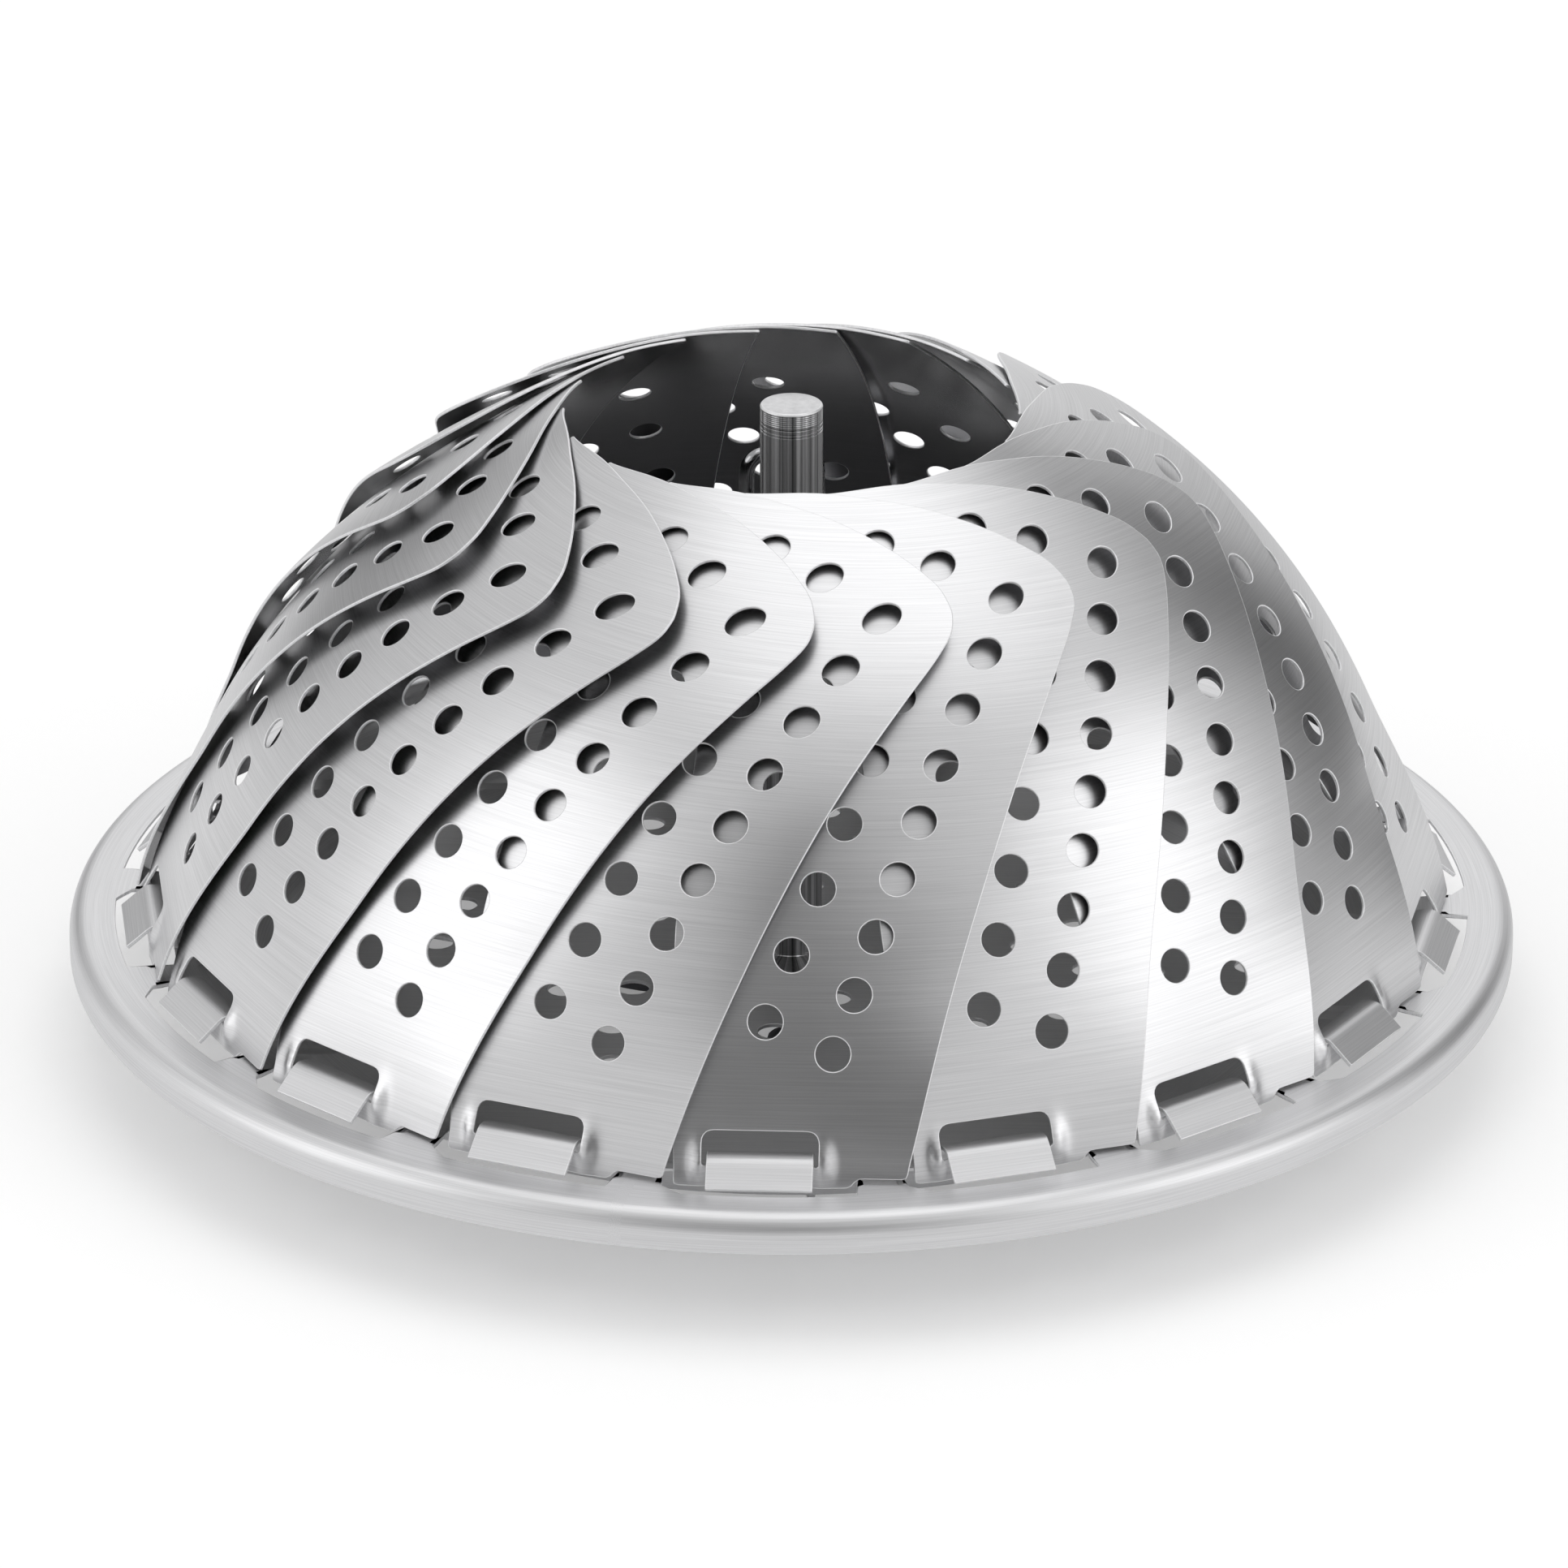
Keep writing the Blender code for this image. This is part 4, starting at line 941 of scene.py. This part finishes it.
def make_ring(material):
    """The wire ring, a rounded oblong in the head's eye: a circle carried along its closed line."""
    place, (tangent, out, up) = hinge_axes("ring_hinge")
    half, straight, wire_radius = 4.5 * MM, 10.5 * MM, 0.95 * MM
    corner = half * 0.6
    low = -straight - 2 * corner
    corners = ((-half, 0.0), (half, 0.0), (half, low), (-half, low))
    loop = softened(rounded_corners(corners, (corner,) * 4, 0.4 * MM), 2)
    line = place + loop[:, 0:1] * tangent + loop[:, 1:2] * up
    along = np.roll(line, -1, axis=0) - np.roll(line, 1, axis=0)
    across = np.cross(along / np.linalg.norm(along, axis=1)[:, None], out)
    turn = turns(20)[:, None]
    points = line[:, None] + wire_radius * (np.cos(turn) * out + np.sin(turn) * across[:, None])
    faces = grid_triangles(len(line), len(turn), closed_rows=True, closed_columns=True)
    mesh = new_mesh("handle_ring_wire", points.reshape(-1, 3), faces)
    mend_normals(mesh)
    add_piece("handle_ring_wire", mesh, "ring", ["handle_ring"], [material])


# Legs

def make_foot(leg_name, material):
    """A soft foot: a block with round edges, |x| to the power 5 and likewise for y and z adding up to 1, that
    fills the node's place."""
    name = leg_name.replace("leg_", "leg_foot_")
    axes = hinge_axes(leg_name + "_hinge")[1]
    node = frame["nodes"][name].data
    corners = np.empty(3 * len(node.vertices), np.float32)
    node.vertices.foreach_get("co", corners)
    along = corners.reshape(-1, 3) @ axes.T
    low, high = along.min(axis=0), along.max(axis=0)
    turn = turns(48) - math.pi
    rise = np.linspace(-math.pi / 2, math.pi / 2, 25)[:, None]
    unit = columns(np.cos(rise) * np.cos(turn), np.cos(rise) * np.sin(turn), np.sin(rise)).reshape(-1, 3)
    size = (np.abs(unit) ** 5).sum(axis=1) ** 0.2
    local = (low + high) / 2 + unit / size[:, None] * (high - low) / 2
    points, faces, _ = weld(local @ axes, grid_triangles(len(rise), len(turn), closed_columns=True))
    mesh = new_mesh(name + "_moulded", points, faces)
    mend_normals(mesh)
    add_piece(name + "_moulded", mesh, leg_name + "_arm", [name], [material])


class STEAMER_OT_legs(bpy.types.Operator):
    """Finish the legs, brackets, pins and feet"""
    bl_idname = "steamer.legs"
    bl_label = "Legs"

    def execute(self, context):
        colours = context.scene.steamer_finish
        sheet = steel("leg_sheet", colours.steel, 0.3, (80, 3000, 3000), coordinate="Object")
        zinc = grained("leg_zinc", colours.zinc, 0.36, 700, 0.2)
        silicone = grained("foot_silicone", colours.silicone, 0.55, 900, 0.5, metallic=0.0)
        for name in LEG_NAMES:
            finish_node(name, sheet)
            finish_node(name.replace("leg_", "leg_bracket_"), sheet)
            finish_node(name.replace("leg_", "leg_pin_"), zinc)
            make_foot(name, silicone)
        return {"FINISHED"}


# Stage

# Softboxes: azimuth from the front, elevation, distance, width, height, brightness
LAMPS = (
    ("top_softbox", 180, 80, 1.4, 1.2, 1.1, 0.77),
    ("left_softbox", -72, 24, 1.5, 1.0, 1.2, 0.9),
    ("right_softbox", 70, 26, 1.5, 1.0, 1.3, 0.9),
)
# Grey cards that the steel mirrors: azimuth, elevation, distance, width, height, brightness
CARDS = (
    ("front_card", 1, 14, 1.5, 0.85, 1.15, 0.04),
    ("front_high_card", -11, 41, 1.5, 0.58, 0.68, 0.04),
    ("left_card", -146, 4, 1.5, 0.5, 0.9, 0.15),
    ("right_card", 126, 17, 1.5, 0.7, 1.75, 0.0),
    ("right_middle_card", 103, 20, 1.5, 0.52, 1.75, 0.46),
    ("back_card", 180, 26, 1.5, 1.1, 1.0, 0.95),
)
# The card on the floor, in front: place, width, height, brightness
FLOOR_CARD = ((0.0, -0.72, 0.4 * MM), 0.5, 1.0, 0.2)
# The camera aims this far to the left of the flange's middle and above it
AIM_LEFT, AIM_UP = 0.92 * MM, 13.55 * MM
# What the floor adds to its own light, by the kind of ray that sees it
FLOOR_GLOW = (("Is Camera Ray", 0.26), ("Is Glossy Ray", 0.06), ("Is Transmission Ray", 0.26))
# The floor's half width, and how far it lies below the object
FLOOR_HALF, FLOOR_DROP = 6.0, 0.2 * MM
# What the lamps and cards face
OBJECT_MIDDLE = Vector((0.0, 0.0, 40 * MM))


class STEAMER_OT_stage(bpy.types.Operator):
    """Set the floor, light and camera"""
    bl_idname = "steamer.stage"
    bl_label = "Stage"

    def execute(self, context):
        settings = context.scene.steamer_stage
        context.scene.view_settings.view_transform = "Standard"
        set_world(settings)
        set_floor(settings)
        set_lamps()
        set_cards()
        set_camera(settings)
        return {"FINISHED"}


def add_by_ray(tree, start, additions):
    """A strength that starts at a value and grows for each kind of ray that is named."""
    rays = tree.nodes.new("ShaderNodeLightPath")
    total = start
    for ray, addition in additions:
        values = {0: rays.outputs[ray], 1: addition, 2: total}
        total = add_node(tree, "ShaderNodeMath", values, "MULTIPLY_ADD").outputs["Value"]
    return total


def set_world(settings):
    """An even pale sky that the camera sees as white."""
    world = bpy.data.worlds.new("even_sky")
    world.use_nodes = True
    tree = world.node_tree
    strength = settings.sky_strength
    fill(tree, tree.nodes["Background"], {
        "Color": (1.0, 1.0, 1.0, 1.0),
        "Strength": add_by_ray(tree, strength, (("Is Camera Ray", 1.0 - strength),))})
    bpy.context.scene.world = world


def flat_panel(name, place, turn, width, height):
    """A flat rectangle round a place, and the nodes of its material, which has no shader yet."""
    corners = [turn @ Vector((x * width / 2, y * height / 2, 0)) + place
               for x, y in ((-1, -1), (1, -1), (1, 1), (-1, 1))]
    mesh = bpy.data.meshes.new(name)
    mesh.from_pydata([tuple(corner) for corner in corners], [], [(0, 1, 2, 3)])
    material, tree = new_material(name)
    tree.nodes.remove(tree.nodes["Principled BSDF"])
    mesh.materials.append(material)
    return link_object(name, mesh), tree


def set_floor(settings):
    """A wide floor that keeps the object's shadow and looks white to the camera, far off too, and in
    reflections."""
    floor, tree = flat_panel("floor", Vector((0.0, 0.0, -FLOOR_DROP)), Quaternion(), 2 * FLOOR_HALF,
                             2 * FLOOR_HALF)
    place = tree.nodes.new("ShaderNodeTexCoord")
    reach = add_node(tree, "ShaderNodeVectorMath", {0: place.outputs["Object"]}, "LENGTH")
    far = mapped(tree, reach.outputs["Value"], 0.3, 1.2, 0.0, 0.35)
    strength = add_by_ray(tree, 0.0, FLOOR_GLOW + (("Is Camera Ray", far),))
    matt = add_node(tree, "ShaderNodeBsdfDiffuse", {"Color": (*settings.floor_colour, 1.0)})
    glow = add_node(tree, "ShaderNodeEmission", {"Strength": strength})
    both = add_node(tree, "ShaderNodeAddShader", {0: matt.outputs["BSDF"], 1: glow.outputs["Emission"]})
    fill(tree, tree.nodes["Material Output"], {"Surface": both.outputs["Shader"]})


def view_axes(azimuth, elevation):
    """Axes of a view from an azimuth, counted from the front, and an elevation: towards the viewer, to the
    viewer's right and up."""
    out = Vector((math.sin(azimuth) * math.cos(elevation), -math.cos(azimuth) * math.cos(elevation),
                  math.sin(elevation)))
    side = Vector((math.cos(azimuth), math.sin(azimuth), 0.0))
    return out, side, out.cross(side)


def facing(azimuth, elevation, distance):
    """A place seen from the object's middle at angles in degrees, and the turn that faces the object."""
    out = view_axes(math.radians(azimuth), math.radians(elevation))[0]
    return OBJECT_MIDDLE + out * distance, (-out).to_track_quat("-Z", "Y")


def turned_object(name, data, place, turn):
    """A new object at a place, with a turn."""
    item = link_object(name, data)
    item.location = place
    item.rotation_mode = "QUATERNION"
    item.rotation_quaternion = turn
    return item


def set_lamps():
    """Large soft lamps."""
    for name, azimuth, elevation, distance, width, height, brightness in LAMPS:
        data = bpy.data.lights.new(name, "AREA")
        data.shape = "RECTANGLE"
        data.size, data.size_y = width, height
        data.energy = brightness * math.pi * width * height
        turned_object(name, data, *facing(azimuth, elevation, distance))


def mirror_card(name, place, turn, width, height, brightness):
    """A flat grey card that only mirrored rays see."""
    card, tree = flat_panel(name, place, turn, width, height)
    grey = add_node(tree, "ShaderNodeEmission", {"Color": (brightness, brightness, brightness, 1.0)})
    fill(tree, tree.nodes["Material Output"], {"Surface": grey.outputs["Emission"]})
    card.visible_camera = False
    card.visible_diffuse = False
    card.visible_shadow = False


def set_cards():
    """Grey cards round the object and one on the floor, out of the picture, for the steel to mirror."""
    for name, azimuth, elevation, distance, width, height, brightness in CARDS:
        mirror_card(name, *facing(azimuth, elevation, distance), width, height, brightness)
    place, width, height, brightness = FLOOR_CARD
    mirror_card("floor_card", Vector(place), Quaternion(), width, height, brightness)


def set_camera(settings):
    """The camera at the photograph's angle."""
    middle = Vector((0.0, 0.0, PAN_FLANGE))
    out, side, up = view_axes(settings.azimuth, settings.elevation)
    place = middle + out * settings.distance
    aim = middle - side * AIM_LEFT + up * AIM_UP
    data = bpy.data.cameras.new("camera")
    data.sensor_width = 36.0
    data.lens = settings.lens
    data.clip_start, data.clip_end = 0.05, 30.0
    bpy.context.scene.camera = turned_object("camera", data, place, (aim - place).to_track_quat("-Z", "Y"))


class STEAMER_PT_panel(bpy.types.Panel):
    """Lists the steamer's pieces in the sidebar"""
    bl_idname = "STEAMER_PT_panel"
    bl_label = "Folding Steamer Basket"
    bl_space_type = "VIEW_3D"
    bl_region_type = "UI"
    bl_category = "Steamer"

    def draw(self, context):
        for operator in OPERATORS:
            self.layout.operator(operator.bl_idname)


GROUPS = (PetalSizes, PanSizes, StageSettings, FinishColours)
OPERATORS = (STEAMER_OT_stage, STEAMER_OT_pan, STEAMER_OT_petals, STEAMER_OT_post, STEAMER_OT_legs)


def register():
    """Add the classes and the scene's settings."""
    for item in GROUPS + OPERATORS + (STEAMER_PT_panel,):
        bpy.utils.register_class(item)
    bpy.types.Scene.steamer_petal = bpy.props.PointerProperty(type=PetalSizes)
    bpy.types.Scene.steamer_pan = bpy.props.PointerProperty(type=PanSizes)
    bpy.types.Scene.steamer_stage = bpy.props.PointerProperty(type=StageSettings)
    bpy.types.Scene.steamer_finish = bpy.props.PointerProperty(type=FinishColours)


def unregister():
    """Take the settings and the classes away again."""
    for name in ("steamer_petal", "steamer_pan", "steamer_stage", "steamer_finish"):
        delattr(bpy.types.Scene, name)
    for item in reversed(GROUPS + OPERATORS + (STEAMER_PT_panel,)):
        bpy.utils.unregister_class(item)


def main():
    """Make the stage and every piece."""
    register()
    bpy.ops.steamer.stage()
    bpy.ops.steamer.pan()
    bpy.ops.steamer.petals()
    bpy.ops.steamer.post()
    bpy.ops.steamer.legs()
    bpy.context.view_layer.update()


if __name__ == "__main__":
    main()
